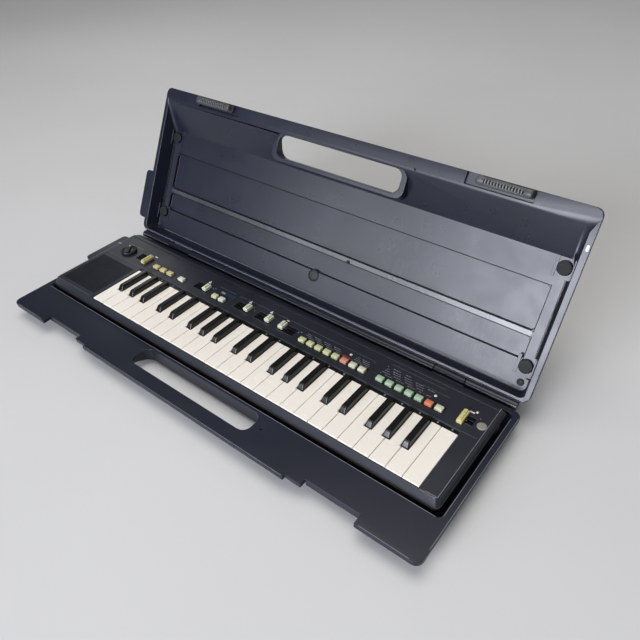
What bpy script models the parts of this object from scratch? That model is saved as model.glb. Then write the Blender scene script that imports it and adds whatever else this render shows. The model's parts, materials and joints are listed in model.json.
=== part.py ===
"""A 44-key portable keyboard lying in its open hard case.

Metres, +X to the player's right, +Y to the back, +Z up. The origin is on the case's underside, at the
middle of the case. The lid is modelled closed and hangs on an empty on the hinge, which opens it.
"""

import math

import bmesh
import bpy
from mathutils import Matrix, Vector

MM = 0.001

# Keys
KEY_PITCH = 20.4 * MM
WHITE_KEYS = 26
FIRST_WHITE = "F"
FIRST_OCTAVE = 3
KEY_GAP = 0.7 * MM
WHITE_LENGTH = 81.7 * MM
BLACK_FRONT = 33.5 * MM
BLACK_WIDTH = 9.4 * MM
BLACK_TOP_WIDTH = 7.4 * MM
BLACK_HEIGHT = 6.5 * MM
BLACK_FRONT_SLOPE = 3.6 * MM
BLACK_EDGE = 0.8 * MM
BLACK_CORNER = 1.0 * MM
TRIPLE_SPREAD = 2.9 * MM
PAIR_SPREAD = 2.6 * MM
KEY_BODY_HEIGHT = 13.0 * MM
KEY_WALL = 1.6 * MM
KEY_TOP_WALL = 2.2 * MM
KEY_TOP_BEVEL = 0.6 * MM
TAIL_HEIGHT = 5.0 * MM
PIVOT_BACK = 88.0 * MM
KEY_DIP = 6.4 * MM

# Keyboard housing
LEFT_CHEEK = 87.5 * MM
RIGHT_CHEEK = 22.4 * MM
TOP_FRONT_LIP = 2.0 * MM
LEDGE_FRONT = 6.5 * MM
TOP_BACK = 145.7 * MM
LEDGE_BACK = 151.5 * MM
LEDGE_SIDE = 3.9 * MM
LEDGE_DROP = 9.0 * MM
LEDGE_STEP = 1.0 * MM
LOWER_CASE_DRAFT = 6.0 * MM
HOUSING_HEIGHT = 35.0 * MM
HOUSING_CORNER = 5.0 * MM
HOUSING_WALL = 2.5 * MM
HOUSING_EDGE = 0.9 * MM
FOOT_HEIGHT = 2.0 * MM
FOOT_RADIUS = 7.0 * MM
FOOT_INSET = 24.0 * MM
RAIL_DROP = 1.0 * MM
RAIL_GAP = 0.8 * MM
STRIP_WIDTH = 6.0 * MM
STRIP_DROP = 0.8 * MM
PANEL_BACK = 138.7 * MM
PANEL_GROOVE = 1.2 * MM
PANEL_GROOVE_DEPTH = 0.6 * MM
PIVOT_BEAM_WIDTH = 4.0 * MM
STOP_BEAM_FRONT = 8.0 * MM
STOP_BEAM_WIDTH = 8.0 * MM
BOSS_RADIUS = 3.5 * MM

# Speaker grille, on the left cheek
GRILLE_SIDE_MARGIN = 7.1 * MM
GRILLE_FRONT_MARGIN = 7.1 * MM
GRILLE_PITCH = 2.4 * MM
GRILLE_SLOT = 1.2 * MM
GRILLE_SLOTS = 30
GRILLE_CROSS_RIBS = 2
GRILLE_CROSS_RIB_WIDTH = 2.0 * MM
GRILLE_CROSS_RIB_DEPTH = 1.6 * MM
SPEAKER_RADIUS = 33.0 * MM
SPEAKER_MAGNET_RADIUS = 18.0 * MM
SPEAKER_RIM = 4.0 * MM

# Controls, placed from the left end of the keys (x) and from the key fronts (y)
CONTROL_GAP = 0.4 * MM
KNOB_X = -53.2 * MM
KNOB_Y = 107.0 * MM
KNOB_RADIUS = 12.0 * MM
KNOB_SKIRT_HEIGHT = 3.4 * MM
KNOB_HEIGHT = 7.0 * MM
KNOB_GRIP_WIDTH = 5.0 * MM
KNOB_GRIP_INSET = 1.4 * MM
KNOB_EDGE = 1.0 * MM
SHAFT_RADIUS = 3.0 * MM
KNOB_WASHER_RADIUS = 5.5 * MM
STEM_WIDTH = 2.4 * MM
STEM_LENGTH = 4.0 * MM
SLIDER_WIDTH = 8.0 * MM
SLIDER_DEPTH = 12.6 * MM
SLIDER_HEIGHT = 6.6 * MM
SLIDER_RIDGE = 1.6 * MM
SLIDER_CORNER = 1.0 * MM
RIDGE_SHARE = 0.4
RIDGE_FOOT = 1.5
SLIDER_BACKPLATE = 10.0 * MM
SLIDER_TRAVEL = 19.0 * MM
SWITCH_TRAVEL = 11.0 * MM
LEVER_WIDTH = 7.0 * MM
LEVER_DEPTH = 20.4 * MM
SLIDER_Y = 109.0 * MM
LEVER_Y = 106.4 * MM
SLIDER_1_X = -9.2 * MM
SLIDER_2_X = 117.3 * MM
SLIDER_3_X = 197.3 * MM
SLIDER_4_X = 235.8 * MM
SLIDER_5_X = 259.5 * MM
SWITCH_INSET = 30.2 * MM
PLATE_THICKNESS = 1.6 * MM
BUTTON_DEPTH = 8.4 * MM
BUTTON_PROUD = 1.8 * MM
BUTTON_CORNER = 1.4 * MM
BUTTON_TAPER = 0.7 * MM
BUTTON_TRAVEL = 2.0 * MM
BUTTON_Y = 102.6 * MM
WIDE_BUTTON = 11.6 * MM
NARROW_BUTTON = 10.4 * MM
LEFT_ROW_X = 17.1 * MM
LEFT_ROW_PITCH = 14.7 * MM
SINGLE_BUTTON_X = 71.4 * MM
PAIR_BUTTON_X = 140.4 * MM
MIDDLE_ROW_X = 297.8 * MM
RIGHT_ROW_X = 416.2 * MM
ROW_PITCH = 13.2 * MM
CARRIER_DEPTH = 7.0 * MM

# Case
SEAM_GAP = 0.4 * MM
BASE_HEIGHT = 24.3 * MM
CASE_WALL = 3.0 * MM
CASE_CORNER = 9.0 * MM
LIP_HEIGHT = 6.0 * MM
REST_GAP = 0.3 * MM
LAND_DEPTH = 54.7 * MM
WELL_FRONT_GAP = 4.1 * MM
WELL_BACK_GAP = 5.8 * MM
WELL_SIDE_GAP = 5.5 * MM
SIDE_RIM = 8.2 * MM
BACK_RIM = 6.0 * MM
WELL_DRAFT = 8.6 * MM
WELL_BACK_DRAFT = 4.0 * MM
WELL_CORNER = 7.0 * MM
SLOPE_START = 20.0 * MM
GUSSET_BAYS = 4
GUSSET_WIDTH = 3.0 * MM
WELL_FRONT_WALL = 3.3 * MM
HANDLE_LENGTH = 200.4 * MM
HANDLE_FRONT = 19.8 * MM
HANDLE_BACK = 50.8 * MM
HANDLE_CORNER = 11.0 * MM
HANDLE_FRAME_END = 8.0 * MM
HANDLE_FRAME_BACK = 5.3 * MM
BAY_REACH = 14.0 * MM
BAY_FRONT = 68.3 * MM
BAY_BACK = 145.9 * MM
BAY_CORNER = 6.0 * MM
BAY_HEIGHT = 14.0 * MM
LOCATING_HOLE_RADIUS = 1.6 * MM
LOCATING_HOLE_GAP = 12.4 * MM
LOCATING_HOLE_BACK = 35.3 * MM

# Lid
LID_FLANGE = 20.0 * MM
LID_SIDE_FLANGE = 7.0 * MM
LID_BACK_RIM = 3.4 * MM
LID_FLOOR_DEPTH = 21.5 * MM
LID_FRONT_RUN = 40.0 * MM
LID_SIDE_RUN = 5.0 * MM
LID_BACK_RUN = 1.6 * MM
PANEL_STEP = 4.0 * MM
SHELL_EDGE = 0.8 * MM
PANEL_CORNER = 5.0 * MM
PANEL_LENGTH = 619.0 * MM
KEY_PANEL_NEAR = 84.7 * MM
KEY_PANEL_FAR = 140.4 * MM
CONTROL_PANEL_NEAR = 49.0 * MM
CONTROL_PANEL_FAR = 76.5 * MM
PAD_RADIUS = 8.4 * MM
PAD_HEIGHT = 4.6 * MM
PAD_INSET = 9.4 * MM
PAD_NEAR = 42.6 * MM
PAD_FAR = 163.8 * MM
LID_OPEN_ANGLE = 117.4

# Hinge
HINGE_SETBACK = 7.2 * MM
BARREL_RADIUS = 5.5 * MM
PIN_RADIUS = 2.0 * MM
PIN_REACH = 6.0 * MM
PIN_CLEARANCE = 0.3 * MM
KNUCKLE_LENGTH = 42.0 * MM
KNUCKLE_X = 241.0 * MM
KNUCKLE_GAP = 0.5 * MM
HINGE_END_INSET = 9.3 * MM
BARREL_WEB_LIFT = 1.0 * MM

# Latches
LATCH_LENGTH = 67.4 * MM
LATCH_INSET = 108.75 * MM
LATCH_TRAVEL = 14.0 * MM
LATCH_DEPTH = 10.4 * MM
LATCH_EDGE = 1.0 * MM
LATCH_CLEARANCE = 0.8 * MM
LATCH_END_GAP = 1.2 * MM
LATCH_HOOK = 2.6 * MM
LATCH_SOLE = 4.0 * MM
LATCH_RIBS = 13
LATCH_RIB_PITCH = 3.6 * MM
LATCH_RIB_HEIGHT = 0.7 * MM
LATCH_RIB_INSET = 1.5 * MM
LATCH_RIB_FOOT = 1.6
LATCH_BEVEL = 1.0 * MM
LATCH_RECESS_WALL = 3.0 * MM
NOTCH_LENGTH = 21.0 * MM
NOTCH_DEPTH = 4.1 * MM

# Steps in round corners and round pieces
CORNER_STEPS = 4
ROUND_STEPS = 24
SMOOTH_ANGLE = 35.0

# Derived places
NOTE_NAMES = list("CDEFGAB")
SHARP_SHIFT = {
    "C": -PAIR_SPREAD,
    "D": PAIR_SPREAD,
    "F": -TRIPLE_SPREAD,
    "G": 0.0,
    "A": TRIPLE_SPREAD,
}

KEYS_LENGTH = KEY_PITCH * WHITE_KEYS
TOP_LENGTH = LEFT_CHEEK + KEYS_LENGTH + RIGHT_CHEEK
LEDGE_LENGTH = TOP_LENGTH + 2 * LEDGE_SIDE
WELL_LENGTH = LEDGE_LENGTH + 2 * WELL_SIDE_GAP
CASE_LENGTH = WELL_LENGTH + 2 * SIDE_RIM
WELL_DEPTH = WELL_FRONT_GAP + LEDGE_FRONT + LEDGE_BACK + WELL_BACK_GAP
CASE_DEPTH = LAND_DEPTH + WELL_DEPTH + BACK_RIM
CASE_FRONT = -CASE_DEPTH / 2
CASE_BACK = CASE_DEPTH / 2
WELL_FRONT = CASE_FRONT + LAND_DEPTH
KEY_FRONT = WELL_FRONT + WELL_FRONT_GAP + LEDGE_FRONT
KEY_LEFT = -TOP_LENGTH / 2 + LEFT_CHEEK
KEY_RIGHT = KEY_LEFT + KEYS_LENGTH

HOUSING_BOTTOM = CASE_WALL + REST_GAP
KEY_TOP = HOUSING_BOTTOM + HOUSING_HEIGHT
LEDGE_Z = KEY_TOP - LEDGE_DROP
SKIN_UNDERSIDE = KEY_TOP - HOUSING_WALL
KEY_BOTTOM = KEY_TOP - KEY_BODY_HEIGHT
PIVOT_Y = KEY_FRONT + PIVOT_BACK
PIVOT_Z = KEY_BOTTOM + TAIL_HEIGHT / 2
KEY_BACK = KEY_FRONT + WHITE_LENGTH
SLOT_WIDTH = STEM_WIDTH + 2 * CONTROL_GAP
SWITCH_X = KEYS_LENGTH + RIGHT_CHEEK - SWITCH_INSET
LATCH_X = CASE_LENGTH / 2 - LATCH_INSET
BUTTON_HEIGHT = BUTTON_TRAVEL + BUTTON_PROUD
LOCATING_HOLE_X = HANDLE_LENGTH / 2 + LOCATING_HOLE_GAP

HINGE_Y = CASE_BACK + HINGE_SETBACK
HINGE_Z = BASE_HEIGHT + SEAM_GAP / 2
LID_RIM = BASE_HEIGHT + SEAM_GAP
LID_FLOOR = LID_RIM + LID_FLOOR_DEPTH
LATCH_HEIGHT = LIP_HEIGHT + LATCH_CLEARANCE + LATCH_HOOK


def rounded_rectangle(x0, x1, y0, y1, radius, steps=CORNER_STEPS):
    """Points of a rounded rectangle, anticlockwise from its right front corner."""
    radius = min(radius, 0.49 * (x1 - x0), 0.49 * (y1 - y0))
    corners = (
        (x1 - radius, y0 + radius, -90),
        (x1 - radius, y1 - radius, 0),
        (x0 + radius, y1 - radius, 90),
        (x0 + radius, y0 + radius, 180),
    )
    points = []
    for x, y, start in corners:
        for step in range(steps + 1):
            angle = math.radians(start + 90 * step / steps)
            points.append((x + radius * math.cos(angle), y + radius * math.sin(angle)))
    return points


def circle(x, y, radius, steps=ROUND_STEPS):
    angles = [2 * math.pi * step / steps for step in range(steps)]
    return [(x + radius * math.cos(a), y + radius * math.sin(a)) for a in angles]


def at_height(outline, z):
    return [(x, y, z) for x, y in outline]


def along_x(profile, x):
    """A ring across X from a profile of (y, z) points."""
    return [(x, y, z) for y, z in profile]


def case_ring(z, front, side, back, radius):
    """A ring of the case's outline, drawn in by these distances."""
    outline = rounded_rectangle(
        -CASE_LENGTH / 2 + side,
        CASE_LENGTH / 2 - side,
        CASE_FRONT + front,
        CASE_BACK - back,
        radius,
    )
    return at_height(outline, z)


def housing_ring(z, front, side, back, radius):
    """A ring of the keyboard's housing, drawn in from its widest outline."""
    outline = rounded_rectangle(
        -LEDGE_LENGTH / 2 + side,
        LEDGE_LENGTH / 2 - side,
        KEY_FRONT - LEDGE_FRONT + front,
        KEY_FRONT + LEDGE_BACK - back,
        radius,
    )
    return at_height(outline, z)


def loft(name, *stacks):
    """One object with a closed body through each stack of rings, which have equally many points."""
    built = bmesh.new()
    for rings in stacks:
        loops = [[built.verts.new(point) for point in ring] for ring in rings]
        for lower, upper in zip(loops, loops[1:]):
            for i, vertex in enumerate(lower):
                j = (i + 1) % len(lower)
                built.faces.new((vertex, lower[j], upper[j], upper[i]))
        built.faces.new(list(reversed(loops[0])))
        built.faces.new(loops[-1])
    bmesh.ops.recalc_face_normals(built, faces=built.faces)
    mesh = bpy.data.meshes.new(name)
    built.to_mesh(mesh)
    built.free()
    obj = bpy.data.objects.new(name, mesh)
    bpy.context.scene.collection.objects.link(obj)
    return obj


def prism(outline, low, high):
    return [at_height(outline, low), at_height(outline, high)]


def block(x0, x1, y0, y1, z0, z1):
    return prism([(x0, y0), (x1, y0), (x1, y1), (x0, y1)], z0, z1)


def use(target, tool, operation):
    """Adds a Boolean to target and keeps its tool out of the render."""
    tool.hide_render = True
    tool.display_type = "WIRE"
    modifier = target.modifiers.new(tool.name, "BOOLEAN")
    modifier.operation = operation
    modifier.object = tool


def cut(target, name, *stacks):
    use(target, loft(name, *stacks), "DIFFERENCE")


def add(target, name, *stacks):
    use(target, loft(name, *stacks), "UNION")


def finish(obj, colour, roughness, metallic=0.0, smooth=True):
    """Gives a sub-part its material and its shading."""
    name = f"{obj.name}_material"
    material = bpy.data.materials.new(name)
    material.use_nodes = True
    shader = material.node_tree.nodes["Principled BSDF"]
    shader.inputs["Base Color"].default_value = (*colour, 1.0)
    shader.inputs["Roughness"].default_value = roughness
    shader.inputs["Metallic"].default_value = metallic
    material.diffuse_color = (*colour, 1.0)
    obj.data.materials.append(material)
    if smooth:
        obj.data.shade_smooth()
        obj.data.set_sharp_from_angle(angle=math.radians(SMOOTH_ANGLE))
    return obj


def axis_empty(name, location):
    empty = bpy.data.objects.new(name, None)
    empty.location = location
    empty.empty_display_size = 0.02
    bpy.context.scene.collection.objects.link(empty)
    return empty


def hang_on(empty, *objects):
    """Parents pieces, modelled in place, to the empty on their joint's axis."""
    for obj in objects:
        obj.parent = empty
        obj.matrix_parent_inverse = Matrix.Translation(-Vector(empty.location))


def tools_of(obj):
    """The Boolean tools of an object, and the tools of those."""
    found = []
    for modifier in obj.modifiers:
        if modifier.type == "BOOLEAN" and modifier.object not in found:
            found += [modifier.object, *tools_of(modifier.object)]
    return found


def mirrored(outline):
    return [(-x, y) for x, y in reversed(outline)]


def lid_y(reach):
    """The closed lid's Y at a distance from the hinge."""
    return HINGE_Y - reach


def handle_outline(end=0.0, front=0.0, back=0.0, corner=HANDLE_CORNER):
    return rounded_rectangle(
        -HANDLE_LENGTH / 2 - end,
        HANDLE_LENGTH / 2 + end,
        CASE_FRONT + HANDLE_FRONT - front,
        CASE_FRONT + HANDLE_BACK + back,
        corner,
    )


def bay_ring(z, shrink):
    outline = rounded_rectangle(
        -CASE_LENGTH / 2 - BAY_REACH + shrink,
        -CASE_LENGTH / 2 + SIDE_RIM / 2,
        KEY_FRONT + BAY_FRONT + shrink,
        KEY_FRONT + BAY_BACK - shrink,
        BAY_CORNER,
    )
    return at_height(outline, z)


def barrel_profile(sign):
    """The side view of a hinge barrel and its web: sign 1 for the lid above the seam, -1 for the base."""
    points = []
    for step in range(ROUND_STEPS * 3 // 4 + 1):
        angle = sign * (math.pi / 2 - 2 * math.pi * step / ROUND_STEPS)
        y = HINGE_Y + BARREL_RADIUS * math.cos(angle)
        points.append((y, HINGE_Z + BARREL_RADIUS * math.sin(angle)))
    web = HINGE_Z + sign * BARREL_WEB_LIFT
    points.append((HINGE_Y - BARREL_RADIUS, web))
    points.append((CASE_BACK - LID_BACK_RIM / 2, web))
    points.append((CASE_BACK - LID_BACK_RIM / 2, HINGE_Z + sign * BARREL_RADIUS))
    return points


def hinge_round(radius, x0, x1):
    """A cylinder on the hinge axis."""
    profile = circle(HINGE_Y, HINGE_Z, radius)
    return [along_x(profile, x0), along_x(profile, x1)]


def latch_span(side, grow=0.0):
    """The low and high X of a latch at rest. It slides towards the middle of the case."""
    middle = side * LATCH_X
    return middle - LATCH_LENGTH / 2 - grow, middle + LATCH_LENGTH / 2 + grow


def make_case_base():
    slope_end = LAND_DEPTH + WELL_DRAFT - CASE_WALL
    lip_underside = BASE_HEIGHT - LIP_HEIGHT
    draft_share = lip_underside / BASE_HEIGHT
    side_low = SIDE_RIM + WELL_DRAFT - CASE_WALL
    side_high = side_low - draft_share * WELL_DRAFT
    back_low = BACK_RIM + WELL_BACK_DRAFT - CASE_WALL
    back_high = back_low - draft_share * WELL_BACK_DRAFT
    base = loft(
        "case_base",
        [
            case_ring(0, slope_end, side_low, back_low, 2 * CASE_CORNER),
            case_ring(lip_underside, SLOPE_START, side_high, back_high, CASE_CORNER),
            case_ring(lip_underside, 0, 0, 0, CASE_CORNER),
            case_ring(BASE_HEIGHT - SEAM_GAP, 0, 0, 0, CASE_CORNER),
            case_ring(BASE_HEIGHT, SEAM_GAP, SEAM_GAP, SEAM_GAP, CASE_CORNER),
        ],
    )
    add(base, "base_bay", [
        bay_ring(BASE_HEIGHT - BAY_HEIGHT, SHELL_EDGE),
        bay_ring(BASE_HEIGHT - SEAM_GAP, 0),
        bay_ring(BASE_HEIGHT, SEAM_GAP),
    ])

    well_low = case_ring(
        CASE_WALL,
        LAND_DEPTH + WELL_DRAFT,
        SIDE_RIM + WELL_DRAFT,
        BACK_RIM + WELL_BACK_DRAFT,
        WELL_CORNER,
    )
    well_rim = case_ring(BASE_HEIGHT, LAND_DEPTH, SIDE_RIM, BACK_RIM, WELL_CORNER)
    well_above = [(x, y, z + LIP_HEIGHT) for x, y, z in well_rim]
    cut(base, "well", [well_low, well_rim, well_above])

    cut(base, "land_pockets", *land_pockets())
    for side in (-1, 1):
        top = BASE_HEIGHT - SEAM_GAP / 2
        add(base, f"recess_walls_{side}", latch_recess(side, LATCH_RECESS_WALL, lip_underside, top))
        add(base, f"recess_apron_{side}", recess_apron(side))
        cut(base, f"latch_recess_{side}", latch_recess(side, 0.0, 0.0, 2 * BASE_HEIGHT))
    cut(base, "base_handle", prism(handle_outline(), -LIP_HEIGHT, 2 * BASE_HEIGHT))
    hole = circle(LOCATING_HOLE_X, CASE_FRONT + LOCATING_HOLE_BACK, LOCATING_HOLE_RADIUS, 12)
    cut(base, "locating_hole", prism(hole, BASE_HEIGHT - 2 * CASE_WALL, 2 * BASE_HEIGHT))

    profile = barrel_profile(-1)
    knuckles = []
    pins = []
    for side in (-1, 1):
        low = side * KNUCKLE_X - KNUCKLE_LENGTH / 2
        high = low + KNUCKLE_LENGTH
        knuckles.append([along_x(profile, low), along_x(profile, high)])
        pins.append(hinge_round(PIN_RADIUS, low - PIN_REACH, high + PIN_REACH))
    add(base, "base_knuckles", *knuckles)
    add(base, "hinge_pins", *pins)
    return finish(base, (0.030, 0.034, 0.052), 0.42)


def land_pockets():
    """The hollows under the front land, between wedge-shaped gussets."""
    skin = BASE_HEIGHT - CASE_WALL
    wall_foot = LAND_DEPTH + WELL_DRAFT - WELL_FRONT_WALL
    wall_head = LAND_DEPTH - WELL_FRONT_WALL + WELL_DRAFT * CASE_WALL / BASE_HEIGHT
    profile = [
        (CASE_FRONT + CASE_WALL, -CASE_WALL),
        (CASE_FRONT + wall_foot, -CASE_WALL),
        (CASE_FRONT + wall_foot, 0.0),
        (CASE_FRONT + wall_head, skin),
        (CASE_FRONT + CASE_WALL, skin),
    ]
    start = HANDLE_LENGTH / 2 + GUSSET_WIDTH
    end = CASE_LENGTH / 2 - SIDE_RIM - WELL_DRAFT
    pitch = (end - start) / GUSSET_BAYS
    pockets = []
    for side in (-1, 1):
        for bay in range(GUSSET_BAYS):
            near = side * (start + bay * pitch)
            far = side * (start + (bay + 1) * pitch - GUSSET_WIDTH)
            low, high = sorted((near, far))
            pockets.append([along_x(profile, low), along_x(profile, high)])
    return pockets


def latch_recess(side, wall, bottom, top):
    """The gap in the front lip that a latch drops into, with a shallow notch beside it, grown by a wall."""
    low, high = latch_span(1, LATCH_END_GAP + wall)
    notch = low - NOTCH_LENGTH
    deep = CASE_FRONT + LATCH_EDGE + LATCH_DEPTH + LATCH_CLEARANCE + wall
    shallow = CASE_FRONT + NOTCH_DEPTH + wall
    front = CASE_FRONT + (SEAM_GAP if wall else -CASE_WALL)
    outline = [(notch, front), (high, front), (high, deep), (low, deep), (low, shallow), (notch, shallow)]
    return prism(outline if side > 0 else mirrored(outline), bottom, top)


def recess_apron(side):
    """The taller wall behind a latch. It stops at the end where the latch's hook slides under the lip."""
    low, high = latch_span(1, LATCH_END_GAP)
    deep = CASE_FRONT + LATCH_EDGE + LATCH_DEPTH + LATCH_CLEARANCE
    outline = [
        (low, deep - LATCH_CLEARANCE / 2),
        (high + LATCH_RECESS_WALL, deep - LATCH_CLEARANCE / 2),
        (high + LATCH_RECESS_WALL, deep + LATCH_RECESS_WALL),
        (low, deep + LATCH_RECESS_WALL),
    ]
    return prism(
        outline if side > 0 else mirrored(outline),
        BASE_HEIGHT - LATCH_HEIGHT,
        BASE_HEIGHT - CASE_WALL / 2,
    )


def make_case_lid():
    top = LID_FLOOR + CASE_WALL
    lip_top = LID_RIM + LIP_HEIGHT
    slope = LID_FRONT_RUN / LID_FLOOR_DEPTH
    skew = CASE_WALL * math.hypot(1.0, slope)
    front_low = LID_FLANGE + slope * LIP_HEIGHT - skew
    front_high = LID_FLANGE + slope * (LID_FLOOR_DEPTH + CASE_WALL) - skew
    side_slope = LID_SIDE_RUN / LID_FLOOR_DEPTH
    side_low = LID_SIDE_FLANGE - CASE_WALL + side_slope * LIP_HEIGHT
    side_high = side_low + side_slope * (top - lip_top)
    rings = [
        case_ring(LID_RIM, SEAM_GAP, SEAM_GAP, SEAM_GAP, CASE_CORNER),
        case_ring(LID_RIM + SEAM_GAP, 0, 0, 0, CASE_CORNER),
        case_ring(lip_top, 0, 0, 0, CASE_CORNER),
        case_ring(lip_top, front_low, side_low, SEAM_GAP, CASE_CORNER),
        case_ring(top - SHELL_EDGE, front_high, side_high, LID_BACK_RUN, CASE_CORNER),
        case_ring(
            top,
            front_high + SHELL_EDGE,
            side_high + SHELL_EDGE,
            LID_BACK_RUN + SHELL_EDGE,
            CASE_CORNER,
        ),
    ]
    lid = loft("case_lid", rings)
    add(lid, "lid_bay", [
        bay_ring(LID_RIM, SEAM_GAP),
        bay_ring(LID_RIM + SEAM_GAP, 0),
        bay_ring(LID_RIM + BAY_HEIGHT, SHELL_EDGE),
    ])
    add(lid, "outer_panel", panel_stack(
        CONTROL_PANEL_NEAR, KEY_PANEL_FAR, CASE_WALL, top - CASE_WALL, top + PANEL_STEP
    ))
    cavity_rim = case_ring(LID_RIM, LID_FLANGE, LID_SIDE_FLANGE, LID_BACK_RIM, WELL_CORNER)
    cavity_floor = case_ring(
        LID_FLOOR,
        LID_FLANGE + LID_FRONT_RUN,
        LID_SIDE_FLANGE + LID_SIDE_RUN,
        LID_BACK_RIM + LID_BACK_RUN,
        WELL_CORNER,
    )
    below = [(x, y, z - LIP_HEIGHT) for x, y, z in cavity_rim]
    cut(lid, "lid_cavity", [below, cavity_rim, cavity_floor])
    floor = LID_FLOOR + PANEL_STEP
    for name, near, far in (
        ("key_panel", KEY_PANEL_NEAR, KEY_PANEL_FAR),
        ("control_panel", CONTROL_PANEL_NEAR, CONTROL_PANEL_FAR),
    ):
        cut(lid, name, panel_stack(near, far, 0.0, LID_FLOOR - CASE_WALL, floor))

    frame = loft("handle_frame", prism(
        handle_outline(HANDLE_FRAME_END, SEAM_GAP, HANDLE_FRAME_BACK), LID_RIM, top
    ))
    use(frame, loft("lid_envelope", rings), "INTERSECT")
    use(lid, frame, "UNION")
    cut(lid, "lid_handle", prism(handle_outline(), 0.0, 2 * top))

    add(lid, "pads", *lid_pads())
    for side in (-1, 1):
        cut(lid, f"latch_seat_{side}", latch_seat(side))
    add(lid, "lid_barrels", *lid_barrels())
    cut(lid, "pin_bores", *pin_bores())
    return finish(lid, (0.030, 0.034, 0.052), 0.42)


def panel_stack(near, far, grow, low, high):
    outline = rounded_rectangle(
        -PANEL_LENGTH / 2 - grow,
        PANEL_LENGTH / 2 + grow,
        lid_y(far) - grow,
        lid_y(near) + grow,
        PANEL_CORNER + grow,
    )
    return prism(outline, low, high)


def lid_pads():
    """Round pads on the lid's floor, which hold the keyboard down by its cheeks."""
    edge = CASE_LENGTH / 2 - LID_SIDE_FLANGE - LID_SIDE_RUN
    stacks = []
    for x in (PAD_INSET - edge, edge - PAD_INSET):
        for reach in (PAD_NEAR, PAD_FAR):
            outline = circle(x, lid_y(reach), PAD_RADIUS)
            stacks.append(prism(outline, LID_FLOOR - PAD_HEIGHT, LID_FLOOR + CASE_WALL / 2))
    return stacks


def latch_seat(side):
    """The lid's recess that a latch slides in, open at the front edge."""
    low, high = latch_span(side, LATCH_END_GAP)
    if side > 0:
        low -= LATCH_TRAVEL
    else:
        high += LATCH_TRAVEL
    depth = LATCH_EDGE + LATCH_DEPTH + 2 * LATCH_CLEARANCE + LATCH_RECESS_WALL / 2
    return block(
        low,
        high,
        CASE_FRONT - CASE_WALL,
        CASE_FRONT + depth,
        LID_RIM - LIP_HEIGHT,
        LID_RIM + LATCH_SOLE,
    )


def barrel_spans():
    """Low and high X of each of the lid's three hinge barrels."""
    inner = KNUCKLE_X - KNUCKLE_LENGTH / 2 - KNUCKLE_GAP
    outer = KNUCKLE_X + KNUCKLE_LENGTH / 2 + KNUCKLE_GAP
    end = CASE_LENGTH / 2 - HINGE_END_INSET
    return (-end, -outer), (-inner, inner), (outer, end)


def lid_barrels():
    profile = barrel_profile(1)
    return [[along_x(profile, low), along_x(profile, high)] for low, high in barrel_spans()]


def pin_bores():
    radius = PIN_RADIUS + PIN_CLEARANCE
    half = KNUCKLE_LENGTH / 2 + PIN_REACH + 2 * KNUCKLE_GAP
    places = (-KNUCKLE_X, KNUCKLE_X)
    return [hinge_round(radius, x - half, x + half) for x in places]


def make_latch(name, side):
    """A sliding latch: a sole in the lid, and a ribbed grip whose end hooks under the base's lip."""
    low, high = latch_span(side)
    front = CASE_FRONT + LATCH_EDGE
    back = front + LATCH_DEPTH
    bottom = LID_RIM - LATCH_HEIGHT
    round_end = LATCH_DEPTH / 3
    grip = rounded_rectangle(low, high, front, back, round_end)
    bevel = LATCH_BEVEL
    inner = rounded_rectangle(low + bevel, high - bevel, front + bevel, back - bevel, round_end)
    latch = loft(
        name,
        [
            at_height(inner, bottom),
            at_height(grip, bottom + bevel),
            at_height(grip, LID_RIM + LATCH_SOLE - LATCH_CLEARANCE),
        ],
    )
    hook = LATCH_TRAVEL + LATCH_END_GAP
    x0, x1 = (low - hook, low + hook) if side > 0 else (high - hook, high + hook)
    under = bottom + LATCH_HOOK
    cut(latch, f"{name}_undercut", block(x0, x1, front - MM, back + MM, under, LID_RIM - SEAM_GAP / 2))
    ribs = []
    first = side * LATCH_X - LATCH_RIB_PITCH * (LATCH_RIBS - 1) / 2
    for rib in range(LATCH_RIBS):
        x = first + rib * LATCH_RIB_PITCH
        half = LATCH_RIB_PITCH / 4
        foot = half * LATCH_RIB_FOOT
        profile = [(x - half, bottom - LATCH_RIB_HEIGHT), (x + half, bottom - LATCH_RIB_HEIGHT),
                   (x + foot, bottom + bevel), (x - foot, bottom + bevel)]
        ribs.append([
            [(px, front + LATCH_RIB_INSET, pz) for px, pz in profile],
            [(px, back - LATCH_RIB_INSET, pz) for px, pz in profile],
        ])
    add(latch, f"{name}_ribs", *ribs)
    return finish(latch, (0.055, 0.056, 0.058), 0.5)


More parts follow.
